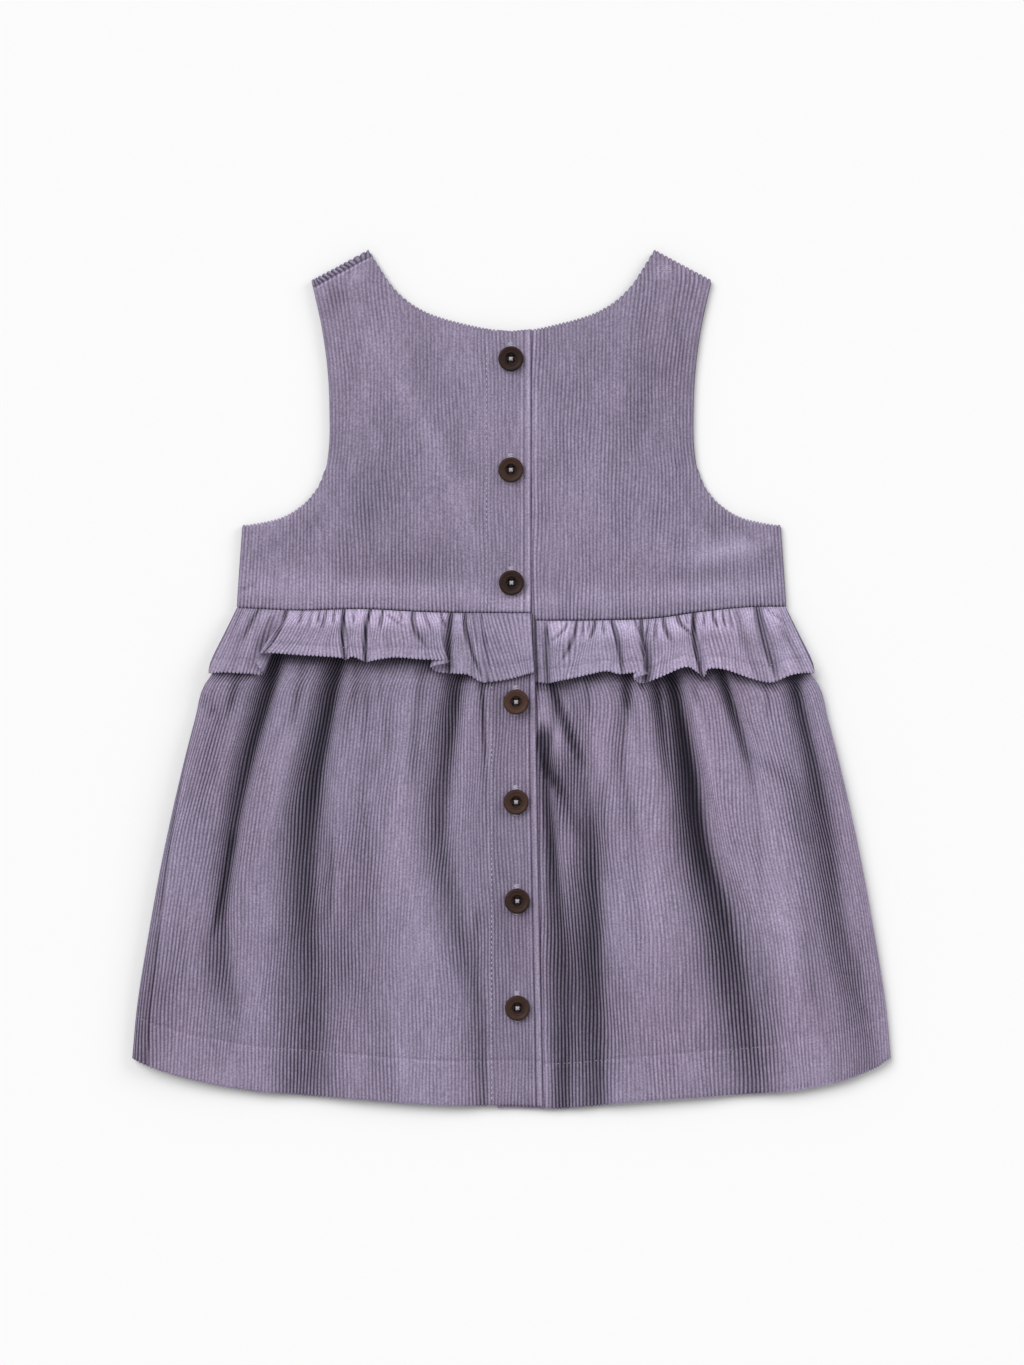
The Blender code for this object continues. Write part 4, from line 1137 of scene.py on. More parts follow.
def on_floor(x, y):
    """The underside of the front of the dress, flat on the surface."""
    return np.zeros(np.broadcast(x, y).shape)


# Soft lines of painted shade and painted highlight beside the edge of the lap. On the left half they are
# the painted highlight on its folded edge's bead and painted shade at the steps of its layers, by their
# distance in from the edge, and on the right half the lap's painted shadow with painted light beside it.
LAP_EDGE_LINES = table("away width dark", (3.2, 0.6, 0.2), (1.6, 0.7, -0.26), (4.6, 0.5, -0.14))
BESIDE_LAP_LINES = table("away width dark", (0.0, 0.5, 0.25), (1.8, 1.2, -0.3))
LAP_LINES_ON_BODICE, LAP_LINES_ON_SKIRT = 1.6, 2.6  # how strong the left half's lines are
# How much painted shade goes in a small crease, in a seam and along a cut edge, and how crisp the ribs are.
BODICE_CREASE_SHADE, SKIRT_CREASE_SHADE = 0.4, 0.35
SEAM_SHADE, EDGE_SHADE = 0.45, 0.25
BODICE_CRISP, SKIRT_CRISP = 0.26, 0.36
PAINTED_LIGHT_SMOOTH = 1.5  # how much less crisp the ribs are where painted light lies
# The painted shade of a valley: a narrow core, a little right of its floor, and a wide slope.
CORE_SHIFT, CORE_REACH, CORE_SHADE = 0.1, (0.85, 0.42), 0.8
SLOPE_SHIFT, SLOPE_REACH, SLOPE_SHADE = 0.0, (2.1, 0.9), 0.17


def shade_lines(distance, lines):
    """The sum of the lines' Gaussians, each at its own distance away."""
    return sum(groove(distance - away, width, dark) for away, width, dark in zip(*lines.values()))


def make_back_bodice(side, name, middle_edge, material):
    """Half of the buttoned back bodice."""

    def height(x, y):
        return bodice_height(x, y, side)

    def finish(x, y):
        # Painted shade in the waist seam with a band of painted light above it, painted shade in the creases
        # and along the cut edges, painted light in the patches and painted shade where they are negative, a
        # little painted light over all, and on the right half the lap's painted shadow.
        above_waist = y - waist_y[side](x)
        edge = np.minimum(bodice_edge_out(y) - np.abs(x), top_y(np.abs(x)) - y)
        seam = SEAM_SHADE * ease(above_waist, 0.9, 0.1) - 0.12 * groove(above_waist - 9.0, 7.0, 1.0)
        painted_light = creases(x, y, BODICE_PAINTED_LIGHT)
        creased = BODICE_CREASE_SHADE * creases(x, y, BODICE_CREASES[side])
        shade = creased + seam + EDGE_SHADE * ease(edge, 1.3, 0.3) - painted_light - 0.06
        crisp = BODICE_CRISP - PAINTED_LIGHT_SMOOTH * painted_light + 0.3 * ease(above_waist, 8.0, 0.0)
        if side > 0:
            return shade + shade_lines(x - LAP_EDGE_BODICE, BESIDE_LAP_LINES), crisp + 0.15
        # On the left half: painted shade along the seam of the strip over the shoulder and on the strip, a
        # line of painted light below that seam, lighter at the lap's foot, and the lap edge's painted
        # highlight and shade.
        wrap = shoulder_distance(x, y)
        in_wrap = strap_share(x) * ease(wrap, SHOULDER_WRAP, SHOULDER_WRAP - 0.4)
        shade = shade + strap_share(x) * groove(wrap - SHOULDER_WRAP, 0.35, 0.9) + 0.12 * in_wrap
        shade = shade - strap_share(x) * groove(wrap - SHOULDER_WRAP - 0.9, 0.5, 0.35)
        foot = 0.2 * groove(x + 2.0, 9.0, 1.0) * groove(above_waist - WAIST_LINE_ABOVE, 1.8, 1.0)
        on_facing = ease(x, LAP_STITCH_BODICE - 1.0, LAP_STITCH_BODICE + 1.0)
        shade = shade - foot + LAP_LINES_ON_BODICE * shade_lines(LAP_EDGE_BODICE - x, LAP_EDGE_LINES)
        return shade, crisp - 0.15 * on_facing + 0.6 * in_wrap

    surface, faces = bodice_surface(
        side,
        middle_edge,
        waist_y[side],
        top_y,
        0.0,
        height,
        finish,
        BACK_BODICE_ROWS,
        wrapped=side < 0,
    )
    return cloth_shell(f"{name}_cord", name, surface, faces, 1, material)


def make_front_bodice(material):
    """The front bodice, flat on the surface."""

    def half(side):
        return bodice_surface(
            side,
            0.0,
            lambda x: front_waist_y(x) + SEAM_GAP,
            front_top_y,
            NECK_TEETH / 2,
            on_floor,
            plain_finish,
            FRONT_BODICE_ROWS,
        )

    surface, faces = joined_halves(half)
    return cloth_shell("front_bodice_cord", "front_bodice", surface, faces, -1, material)


def skirt_rows(waist, hem, stations):
    """The y of a skirt's rows in each column: its stations, bent to the waist above and to the hem below."""
    rows = stations[:, None]
    to_waist = (waist - SEAM_GAP - SKIRT_TOP_Y) * ease(rows, WAIST_SHAPE_END, WAIST_SHAPE_FULL)
    to_hem = (hem - HEM_MIDDLE_Y) * ease(rows, HEM_SHAPE_START, HEM_MIDDLE_Y)
    return rows + to_waist + to_hem


def skirt_stations(count):
    """Each row's y, from the skirt's top to its hem: even, and closer at the ends and by the stitches."""
    at_top = SKIRT_TOP_Y - np.array([0.0, 0.3, 1.0])
    at_turn_up = HEM_MIDDLE_Y + HEM_TURN_UP + np.array([1.2, 0.5, 0.0, -0.5, -1.2])
    at_hem = HEM_MIDDLE_Y + np.array([1.3, 0.5, 0.0])
    even = np.linspace(SKIRT_TOP_Y - 3.0, HEM_MIDDLE_Y + 2.5, count)
    even = even[np.abs(even - at_turn_up[2]) > 2.0]
    return np.sort(np.concatenate([at_top, at_turn_up, even, at_hem]))[::-1]


def fallen(y):
    """Share of the way down the skirt."""
    return np.clip((DRIFT_TOP_Y - y) / DRIFT_LENGTH, 0, 1)


def skirt_surface(
    side, middle_edge, waist, hem, height, folds, finish, count, stations, fullness=1.0, drift=0.0
):
    """Half a skirt. Ribs fan out from the waist to the hem, in even shares of the cloth's own width.

    That width is measured along each row over the folds, with their heights times fullness, so ribs
    crowd together on the walls of the valleys. drift is how far they stray out on the way to the hem.
    """
    across, rise = wales(count)
    fine = np.linspace(0, 1, 1001)

    def place(share, serration):
        waist_x = side * skirt_side_out(SKIRT_TOP_Y) * share + middle_edge(SKIRT_TOP_Y) * (1 - share)
        hem_x = side * HEM_OUT * share + middle_edge(HEM_MIDDLE_Y) * (1 - share)
        y = skirt_rows(waist(waist_x), hem(hem_x) - serration, stations)
        return side * skirt_side_out(y) * share + middle_edge(y) * (1 - share), y

    fine_x, fine_y = place(fine, 0.0)
    steps = np.hypot(np.diff(fine_x, axis=1), fullness * np.diff(folds(fine_x, fine_y), axis=1))
    length = np.concatenate([np.zeros((len(steps), 1)), np.cumsum(steps, axis=1)], axis=1)
    length /= length[:, -1:]
    share = np.stack([np.interp(across / count, row, fine) for row in length])
    x, y = place(share, HEM_TEETH * (rise - 0.5))
    x = x + rib_wander(across / count, y)
    x = x + drift * ease(share, 0.25, 0.7) * ease(share, 1.0, 0.78) * fallen(y)
    return grid_surface(x, y, height, across, rise, finish)


def above_skirt(side, column, x):
    """The frill's hem_y or lift over a place on the skirt, as if no flute folded back."""
    flutes = FLUTES[side]
    order = np.argsort(flutes["hem_x"])
    return np.interp(x, flutes["hem_x"][order], flutes[column][order])


def make_back_skirt(side, name, material):
    """Half of the gathered back skirt."""

    def height(x, y):
        return skirt_height(x, y, side)

    def folds(x, y):
        return skirt_folds(x, y, side)

    def finish(x, y):
        # Painted shade: a painted shadow under the frill's hem, painted shade in the valleys, the bowed
        # creases and the small creases, painted light in the patches and painted shade where they are
        # negative, and on the right half the lap's painted shadow. The ribs are crisper where the painted
        # shade is.
        below_frill = above_skirt(side, "hem_y", x) - y
        stands_off = np.clip(above_skirt(side, "lift", x) / 7.0, 0, 1)
        frill_shadow = 0.4 * stands_off * ease(below_frill, 7.0, 0.0) + 0.9 * ease(below_frill, 2.4, 0.6)
        under_frill = 1 - 0.45 * ease(below_frill, 10.0, 0.0)
        core = CORE_SHADE * valley_sum(x, y, VALLEYS[side], "dark", CORE_SHIFT, *CORE_REACH)
        slope = SLOPE_SHADE * valley_sum(x, y, VALLEYS[side], "dark", SLOPE_SHIFT, *SLOPE_REACH)
        painted_shading = frill_shadow + under_frill * (core + slope)
        painted_shading = painted_shading + bowed_creases(x, -y, SHARP[side], "dark")
        painted_shading = painted_shading + SKIRT_CREASE_SHADE * creases(x, y, SKIRT_CREASES[side])
        inside = ease(skirt_side_out(y) - np.abs(x), 0.0, 6.0)
        hem_band = ease(y - SKIRT_HEM[side](x), HEM_TURN_UP + 1.0, HEM_TURN_UP)
        painted_light = creases(x, y, SKIRT_PAINTED_LIGHT)
        shade = crease_share(x, side, -14.0, -10.0) * inside * painted_shading - 0.03 * hem_band - painted_light
        crisp = SKIRT_CRISP + 0.6 * np.clip(painted_shading, 0, 1) - PAINTED_LIGHT_SMOOTH * painted_light
        if side > 0:
            return shade + shade_lines(x - left_skirt_edge(y), BESIDE_LAP_LINES), crisp
        # On the left half the facing is darker, with painted shadow under the frill's hem, the side strip and
        # its seam get painted shade, and the lap's edge gets its painted highlight and shade.
        facing = ease(x, LAP_STITCH_SKIRT - 1.0, LAP_STITCH_SKIRT + 0.5)
        shade = shade + 0.36 * facing + 0.5 * facing * ease(below_frill, 3.0, 0.0)
        shade = shade + 0.4 * ease(side_seam_distance(x, y), 1.0, 0.0)
        shade = shade + LAP_LINES_ON_SKIRT * shade_lines(left_skirt_edge(y) - x, LAP_EDGE_LINES)
        shade = shade + groove(side_seam_distance(x, y), 0.5, 0.5)
        return shade, crisp * (1 - 0.4 * facing)

    surface, faces = skirt_surface(
        side,
        SKIRT_EDGE[side],
        waist_y[side],
        SKIRT_HEM[side],
        height,
        folds,
        finish,
        BACK_SKIRT_WALES[side],
        skirt_stations(BACK_SKIRT_ROWS),
        FOLD_FULLNESS,
        RIB_DRIFT[side],
    )
    return cloth_shell(f"{name}_cord", name, surface, faces, 1, material)


def make_front_skirt(material):
    """The front skirt, flat under the back."""

    def height(x, y):
        return front_skirt_underside(y) + 0 * x

    def half(side):
        return skirt_surface(
            side,
            lambda y: 0 * y,
            front_waist_y,
            lambda x: hem_y(np.abs(x)) + FRONT_HEM_LIFT,
            height,
            height,
            plain_finish,
            FRONT_SKIRT_WALES,
            skirt_stations(FRONT_SKIRT_ROWS),
        )

    surface, faces = joined_halves(half)
    return cloth_shell("front_skirt_cord", "front_skirt", surface, faces, -1, material)


def make_front_frill(material):
    """The frill on the front, pressed flat under the front skirt."""
    across, rise = wales(FRONT_FRILL_WALES)
    share = across / FRONT_FRILL_WALES * 2 - 1
    seam = front_waist_y(share * BODICE_SIDE_OUT) - SEAM_GAP
    hem = FRONT_FRILL_HEM_Y - HEM_TEETH * (rise - 0.5)
    y = seam + (hem - seam) * rows_between(FRONT_FRILL_ROWS)[:, None]
    x = frill_side_out(y) * share
    surface, faces = grid_surface(x, y, on_floor, across, rise, plain_finish)
    return cloth_shell("front_frill_cord", "front_frill", surface, faces, -1, material)


def frill_points(side, s, t):
    """Points of a frill at s flutes along and a share t of the way from the waist seam to the hem.

    Each flute is a line in plan that sways a little by a sine, and its lift grows by a sine over the
    first part of the way. The cloth puffs up under the seam between the gathers, rolls down at the hem
    and is pulled in along the hem's stitches.
    """
    flutes = FLUTES[side]
    index = np.arange(len(flutes["lift"]), dtype=float)
    waist_x, hem_x, hem_at, lift = (curve(index, column)(s) for column in flutes.values())
    standing = ease(lift, 0.2, 1.5)
    free = ease(t, 0.0, 0.2) * ease(t, 1.0, 0.7) * standing
    x = waist_x + (hem_x - waist_x) * t + FRILL_SWAY * free * np.sin(2.3 * s + 4.5 * t)
    seam = waist_y[side](waist_x) - SEAM_GAP
    y = seam + (hem_at - seam) * t
    opened = np.sin(np.clip((t - 0.05) / 0.6, 0, 1) * math.pi / 2)
    growth = FRILL_WAIST_SHARE + (1 - FRILL_WAIST_SHARE) * opened
    lift = np.maximum(lift, 0)
    puffed = ease(t, 0.0, 0.12) * (1 - 0.75 * ease(t, 0.25, 0.9)) * standing
    puff = PUFF * puffed * (1 - np.minimum(bowed_creases(x, t, GATHERS[side], "deep", 1.6), 1))
    to_hem = (1 - t) * FRILL_DROP
    roll = 0.4 * (1 - rounded(to_hem, 1.2)) + groove(to_hem - FRILL_HEM_MARGIN, 1.0, 0.3)
    return np.stack([x, y, frill_bed(x, y, side) + lift * growth + puff - roll], -1), lift


FRILL_BRIGHT = {-1: 0.27, 1: 0.34}  # how much painted light makes the frill lighter than the bodice's cloth
GATHER_SHADE, PUFF_BRIGHT = 0.75, 0.28  # how much painted shade the gathers get, and how much painted highlight the puffs between them


def make_back_frill(side, name, material):
    """Half of the frill on the back.

    Its ribs are even along its hem, so they crowd together at the waist, and they lean across the flat
    end of the left half.
    """
    last = len(FLUTES[side]["lift"]) - 1
    fine = np.linspace(0, last, 40 * last + 1)
    near_hem, _ = frill_points(side, fine, 0.9)
    length = np.append(0, np.cumsum(np.linalg.norm(np.diff(near_hem, axis=0), axis=1)))
    count = int(round(length[-1] / WALE))
    across, rise = wales(count)
    s = np.interp(across / count * length[-1], length, fine)
    by_stitches = FRILL_SEWN + np.array([-0.025, 0.0, 0.025])
    t = np.unique(np.concatenate([rows_between(BACK_FRILL_ROWS), by_stitches]))[:, None]
    on_flat_end = ease(s, FLAT_END_START, FLAT_END_FULL) * ease(s, last, last - 1.1) * (side < 0)
    grid, lift = frill_points(side, s + FLAT_END_SLANT * (2 * t - 1) * on_flat_end, t)
    grid[-1, :, 1] -= HEM_TEETH * (rise - 0.5)
    by_s, by_t = np.gradient(grid, axis=1), np.gradient(grid, axis=0)
    normal = np.cross(by_t, by_s)
    normal *= np.sign(normal[..., 2].sum())
    normal /= np.linalg.norm(normal, axis=-1, keepdims=True)
    standing = ease(lift, 0.2, 1.5)
    # Painted shade on the low cloth beside the flutes and in the gathers, a painted highlight on the puffs
    # under the seam and painted shade below them, painted shade at the hem's stitch line and a painted
    # highlight at the hem, and painted light over the whole frill.
    low = 0.3 * np.clip(1 - lift / 2.5, 0, 1) * ease(lift, 0.3, 1.0)
    dark = bowed_creases(grid[..., 0], t, GATHERS[side], "dark")
    at_puffs = ease(t, 0.0, 0.06) * ease(t, 0.5, 0.15) * standing * ease(dark, 0.5, 0.0)
    below_puffs = 0.12 * groove(t - 0.45, 0.14, 1.0) * standing
    hem_line = groove(t - FRILL_SEWN, 0.02, 0.16) - groove(t - 1.0, 0.05, 0.1)
    painted_shading = GATHER_SHADE * dark + low - PUFF_BRIGHT * at_puffs + below_puffs + hem_line - FRILL_BRIGHT[side]
    surface = {
        "points": grid.reshape(-1, 3),
        "normals": normal.reshape(-1, 3),
        "wale": np.tile(across, len(t)),
        "rise": np.tile(rise, len(t)),
        "along": grid[..., 1].ravel(),
        "shade": painted_shading.ravel(),
        "crisp": np.clip(0.45 + 0.5 * painted_shading, 0, 1).ravel(),
    }
    index = np.arange(len(surface["wale"])).reshape(grid.shape[:2])
    return cloth_shell(f"{name}_cord", name, surface, quads_of(index), 1, material, FRILL_SHELL)


# ---------------------------------------------------------------------------------------------
# Stitches
# ---------------------------------------------------------------------------------------------

STITCH_SIDES = 6
STITCH_STATIONS = np.array([-0.5, -0.3, 0.0, 0.3, 0.5])
STITCH_FULLNESS = np.array([0.25, 0.9, 1.0, 0.9, 0.25])
STITCH_BOW = 1.6  # how far a stitch's ends are bowed down, in radii
STITCH_SINK = 0.12  # how far a line of stitches is pulled into the cloth


def stitches(name, middles, directions, length, radius, material):
    """A row of stitches in one mesh: tapered rods, each along its direction and bowed down at its ends.

    A rod has stations along it with a ring of points at each, and flat ends.
    """
    count = len(middles)
    along = directions / np.linalg.norm(directions, axis=1, keepdims=True)
    beside = np.cross(np.array([0.0, 0.0, 1.0]), along)
    beside /= np.linalg.norm(beside, axis=1, keepdims=True)
    above = np.cross(along, beside)
    angle = np.arange(STITCH_SIDES) * 2 * math.pi / STITCH_SIDES
    spine = middles[:, None] + along[:, None] * (STITCH_STATIONS * length)[None, :, None]
    spine = spine - above[:, None] * (radius * STITCH_BOW * (2 * STITCH_STATIONS) ** 2)[None, :, None]
    ring = beside[:, None, None] * np.cos(angle)[None, None, :, None]
    ring = ring + above[:, None, None] * np.sin(angle)[None, None, :, None]
    points = spine[:, :, None] + ring * (radius * STITCH_FULLNESS)[None, :, None, None]
    stations = len(STITCH_STATIONS)
    each = np.arange(stations * STITCH_SIDES).reshape(stations, STITCH_SIDES)
    closed = np.concatenate([each, each[:, :1]], axis=1)
    sides = quads_of(closed)
    first, last = each[0], each[-1]
    caps = np.array([first[[0, 1, 2, 3]], first[[0, 3, 4, 5]], last[[3, 2, 1, 0]], last[[5, 4, 3, 0]]])
    faces = np.concatenate([sides[:, ::-1], caps[:, ::-1]])
    faces = (faces[None] + (np.arange(count) * each.size)[:, None, None]).reshape(-1, 4)
    obj = new_mesh_object(name, points.reshape(-1, 3), faces, material, 80.0)


def stitched_line(name, x, y, height, spacing, share, radius, material):
    """Stitches at an even spacing along the line through (x, y), each that share of the spacing long."""
    steps = np.append(0, np.cumsum(np.hypot(np.diff(x), np.diff(y))))
    at = np.arange(spacing / 2, steps[-1], spacing)
    px, py = np.interp(at, steps, x), np.interp(at, steps, y)
    ahead_x, ahead_y = np.interp(at + 0.3, steps, x), np.interp(at + 0.3, steps, y)
    pz, ahead_z = height(px, py), height(ahead_x, ahead_y)
    middles = np.stack([px, py, pz - STITCH_SINK], -1)
    directions = np.stack([ahead_x - px, ahead_y - py, ahead_z - pz], -1)
    directions[np.abs(directions).sum(1) == 0] = (0.0, 1.0, 0.0)
    stitches(name, middles, directions, spacing * share, radius, material)


def sew_dress(thread, hem_thread):
    """The stitch lines that show: along the lap, across its foot on the bodice, and along the hems."""

    def left_bodice(x, y):
        return bodice_height(x, y, -1)

    def left_skirt(x, y):
        return skirt_height(x, y, -1)

    def right_skirt(x, y):
        return skirt_height(x, y, 1)

    y = np.linspace(172.0, 36.0, 120)
    x = LAP_STITCH_BODICE + 0 * y
    stitched_line("lap_stitches_bodice", x, y, left_bodice, 2.6, 0.72, 0.31, thread)
    y = np.linspace(-3.0, -212.0, 160)
    x = LAP_STITCH_SKIRT + 0 * y
    stitched_line("lap_stitches_skirt", x, y, left_skirt, 2.6, 0.72, 0.31, thread)
    x = np.linspace(-14.0, 8.6, 30)
    y = 38.8 + 0 * x
    stitched_line("lap_foot_stitches", x, y, left_bodice, 2.4, 0.7, 0.24, thread)
    y = np.linspace(-3.0, -210.0, 160)
    x = left_skirt_edge(y) - 2.0
    stitched_line("lap_edge_stitches_skirt", x, y, left_skirt, 2.6, 0.66, 0.18, hem_thread)
    x = np.linspace(-188.0, LAP_STITCH_SKIRT, 200)
    y = left_hem_y(x) + HEM_TURN_UP
    stitched_line("hem_stitches_left", x, y, left_skirt, 2.7, 0.68, 0.2, hem_thread)
    x = np.linspace(LAP_EDGE_HEM + 1.0, 188.0, 200)
    y = right_hem_y(x) + HEM_TURN_UP
    stitched_line("hem_stitches_right", x, y, right_skirt, 2.7, 0.68, 0.2, hem_thread)
    for side, name in ((-1, "left"), (1, "right")):
        sew_frill(side, name, hem_thread)
        tack_strap(side, name, thread)


def tack_strap(side, name, thread):
    """The rows of short stitches that hold the shoulder seam's allowance at the neck's end of a strap."""
    along, down = (v.ravel() for v in np.meshgrid(np.arange(3) * 2.7, np.arange(4) * 0.95))
    fall = SHOULDER_FALL if side < 0 else 0.0
    x = side * (STRAP_INNER_OUT + 1.5 + along + 0.4 * np.sin(5 * down))
    y = 206.6 - down - fall * along
    middles = np.stack([x, y, bodice_height(x, y, side) - 0.1], -1)
    directions = np.stack([1 + 0 * x, fall + 0.08 * np.cos(7 * along), 0 * x], -1)
    stitches(f"strap_tacks_{name}", middles, directions, 2.2, 0.17, thread)


def sew_frill(side, name, thread):
    """The stitches along the frill's hem, where they don't stand on a flute's steep side."""
    last = len(FLUTES[side]["lift"]) - 1
    line, _ = frill_points(side, np.linspace(0.3, last - 0.3, 60 * last), FRILL_SEWN)
    steps = np.append(0, np.cumsum(np.linalg.norm(np.diff(line, axis=0), axis=1)))

    def along_line(distance):
        return np.stack([np.interp(distance, steps, line[:, k]) for k in range(3)], -1)

    at = np.arange(1.3, steps[-1] - 1.3, 2.6)
    run = along_line(at + 0.4) - along_line(at - 0.4)
    level = np.abs(run[:, 2]) < 0.4 * np.linalg.norm(run, axis=1)
    middles = along_line(at)[level] - [0, 0, 0.1]
    stitches(f"frill_stitches_{name}", middles, run[level], 1.75, 0.19, thread)


# ---------------------------------------------------------------------------------------------
# Buttons
# ---------------------------------------------------------------------------------------------

BUTTON_RADIUS = 6.3
BUTTON_SIDES = 72
# A button's section from the middle of its face outwards, down the rim and back under.
BUTTON_SECTION = table(
    "radius height",
    (0.0, 1.25),
    (0.5, 1.25),
    (1.0, 1.25),
    (1.5, 1.25),
    (2.05, 1.27),
    (2.6, 1.32),
    (2.82, 1.5),
    (2.96, 1.85),
    (3.15, 2.1),
    (3.35, 2.16),
    (3.6, 2.08),
    (3.9, 2.08),
    (4.4, 2.2),
    (4.85, 2.38),
    (5.35, 2.5),
    (5.7, 2.46),
    (6.05, 2.25),
    (6.25, 1.85),
    (6.3, 1.4),
    (6.2, 0.9),
    (5.8, 0.35),
    (5.25, 0.05),
    (3.8, 0.0),
    (0.0, 0.0),
)
DISH_END, DISH_RINGS = 6, 25  # the section's row at the dish's edge, and how many rings the dish gets
FACE_RINGS = 22  # how many of them the holes are pressed into
HOLE_SPREAD = 1.1  # from the button's middle to a hole's, in x and in y
HOLE_RADIUS = 0.78
HOLE_DEPTH = 0.95
THREAD_TURNS = (45, 135)  # degrees, the way that each strand of the thread crosses the holes
LOWEST_ON_BODICE = 40.0  # buttons whose y is above this are on the bodice, and the others on the skirt


def make_button(number, x, y, tone, bottom, material):
    """A four-hole button: its section turned about its axis, with a steep dimple for each hole.

    Between two rings of the section more rings are put in, so that the dimples have a clean edge.
    """
    order = np.arange(len(BUTTON_SECTION["radius"]), dtype=float)
    fine = np.concatenate([np.linspace(0, DISH_END, DISH_RINGS)[:-1], order[DISH_END:]])
    radius = np.interp(fine, order, BUTTON_SECTION["radius"])[1:-1]
    height = np.interp(fine, order, BUTTON_SECTION["height"])[1:-1]
    angle = np.arange(BUTTON_SIDES) * 2 * math.pi / BUTTON_SIDES
    px = radius[:, None] * np.cos(angle)
    py = radius[:, None] * np.sin(angle)
    pz = np.broadcast_to(height[:, None], px.shape)
    hole = np.hypot(np.abs(px) - HOLE_SPREAD, np.abs(py) - HOLE_SPREAD)
    on_face = (np.arange(len(radius)) < FACE_RINGS)[:, None]
    pz = pz - HOLE_DEPTH * (1 - ease(hole, HOLE_RADIUS - 0.16, HOLE_RADIUS + 0.06)) * on_face
    rings = np.stack([px, py, pz], -1).reshape(-1, 3)
    ends = np.array([[0, 0, BUTTON_SECTION["height"][0]], [0, 0, 0.0]])
    points = np.concatenate([rings, ends]) + np.array([x, y, bottom])
    index = np.arange(len(rings)).reshape(px.shape)
    closed = np.concatenate([index, index[:, :1]], axis=1)
    faces = quads_of(closed)[:, ::-1]
    caps = []
    for row, middle, turn in ((0, len(rings), 1), (-1, len(rings) + 1, -1)):
        fan = np.stack([index[row], np.roll(index[row], -1), np.full(BUTTON_SIDES, middle)], -1)
        caps.append(fan[:, ::turn])
    triangles = np.concatenate([faces[:, [0, 1, 2]], faces[:, [0, 2, 3]], *caps])
    obj = new_mesh_object(f"button_{number}_turned", points, triangles, material, 40.0)
    from_axis = np.hypot(points[:, 0] - x, points[:, 1] - y)
    # Painted shade on the button: darker at the rim's outer edge, in the groove of the ring and in the dish.
    rim = 0.25 * ease(from_axis, 5.15, 6.2)
    ring_groove_shade = groove(from_axis - 3.6, 0.3, 0.3)
    dish_shade = 0.7 * ease(from_axis, 3.05, 2.65)
    set_attribute(obj, "tone", tone * (1 - dish_shade - rim - ring_groove_shade))
    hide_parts(f"button_{number}")


def sew_button(number, x, y, bottom, thread):
    """The thread that crosses the button's holes, in strands side by side, the first way on top."""
    strands = []
    for turn in THREAD_TURNS:
        c, s = math.cos(math.radians(turn)), math.sin(math.radians(turn))
        for off in (-0.26, 0.0, 0.26):
            lift = 1.62 + (0.16 if turn == THREAD_TURNS[0] else 0.0) - 0.3 * abs(off)
            strands.append((x - s * off, y + c * off, bottom + lift, c, s))
    strands = np.array(strands)
    directions = np.stack([strands[:, 3], strands[:, 4], 0 * strands[:, 3]], -1)
    stitches(f"button_{number}_thread", strands[:, :3], directions, 2.5, 0.24, thread)


def make_buttonhole(number, x, y, thread):
    """The bar-tacked ends of a buttonhole: short stitches across it, packed above and below the button."""
    height = bodice_height if y > LOWEST_ON_BODICE else skirt_height
    above = np.arange(5) * 0.42 + BUTTON_RADIUS + 0.1
    below = -np.arange(2) * 0.42 - BUTTON_RADIUS - 0.1
    rows = np.concatenate([above, below])
    order = np.arange(len(rows))
    px, py = x - 0.4 + 0.25 * np.sin(order * 2.4), y + rows
    middles = np.stack([px, py, height(px, py, -1) + 0.05], -1)
    directions = np.stack([np.ones(len(rows)), 0.12 * np.cos(order * 1.7), np.zeros(len(rows))], -1)
    stitches(f"buttonhole_{number}_tacks", middles, directions, 3.0, 0.2, thread)


# ---------------------------------------------------------------------------------------------
# Materials
# ---------------------------------------------------------------------------------------------


def node_of(tree, kind, **settings):
    """A shader node with its settings."""
    node = tree.nodes.new(kind)
    for key, value in settings.items():
        setattr(node, key, value)
    return node


def attribute_node(tree, name):
    """An Attribute node; its value socket."""
    return node_of(tree, "ShaderNodeAttribute", attribute_name=name).outputs["Fac"]


def new_material(name, roughness, specular):
    """A material with that roughness and specular level, its node tree and its shader."""
    material = bpy.data.materials.new(name)
    material.use_nodes = True
    shader = material.node_tree.nodes["Principled BSDF"]
    shader.inputs["Roughness"].default_value = roughness
    shader.inputs["Specular IOR Level"].default_value = specular
    return material, material.node_tree, shader


def math_node(tree, operation, first, second=None):
    """A Math node on sockets or numbers; its output socket."""
    node = node_of(tree, "ShaderNodeMath", operation=operation)
    for socket, value in zip(node.inputs, (first, second)):
        if value is None:
            continue
        if isinstance(value, bpy.types.NodeSocket):
            tree.links.new(value, socket)
        else:
            socket.default_value = value
    return node.outputs[0]


def mix_colours(tree, factor, first, second, blend="MIX"):
    """A colour Mix node on sockets or colours; its output socket."""
    node = node_of(tree, "ShaderNodeMix", data_type="RGBA", blend_type=blend)
    for socket, value in ((node.inputs[0], factor), (node.inputs[6], first), (node.inputs[7], second)):
        if isinstance(value, bpy.types.NodeSocket):
            tree.links.new(value, socket)
        elif isinstance(value, tuple):
            socket.default_value = (*value, 1)
        else:
            socket.default_value = value
    return node.outputs[2]


def spread_node(tree, value, low, high, to_low=0.0, to_high=1.0):
    """A Map Range node from low..high to to_low..to_high; its output socket."""
    node = node_of(tree, "ShaderNodeMapRange", interpolation_type="SMOOTHSTEP")
    tree.links.new(value, node.inputs["Value"])
    node.inputs["From Min"].default_value = low
    node.inputs["From Max"].default_value = high
    node.inputs["To Min"].default_value = to_low
    node.inputs["To Max"].default_value = to_high
    return node.outputs["Result"]


def noise_node(tree, vector, scale, detail=3.0):
    """A Noise node; its value socket."""
    node = node_of(tree, "ShaderNodeTexNoise")
    node.inputs["Scale"].default_value = scale
    node.inputs["Detail"].default_value = detail
    tree.links.new(vector, node.inputs["Vector"])
    return node.outputs[0]


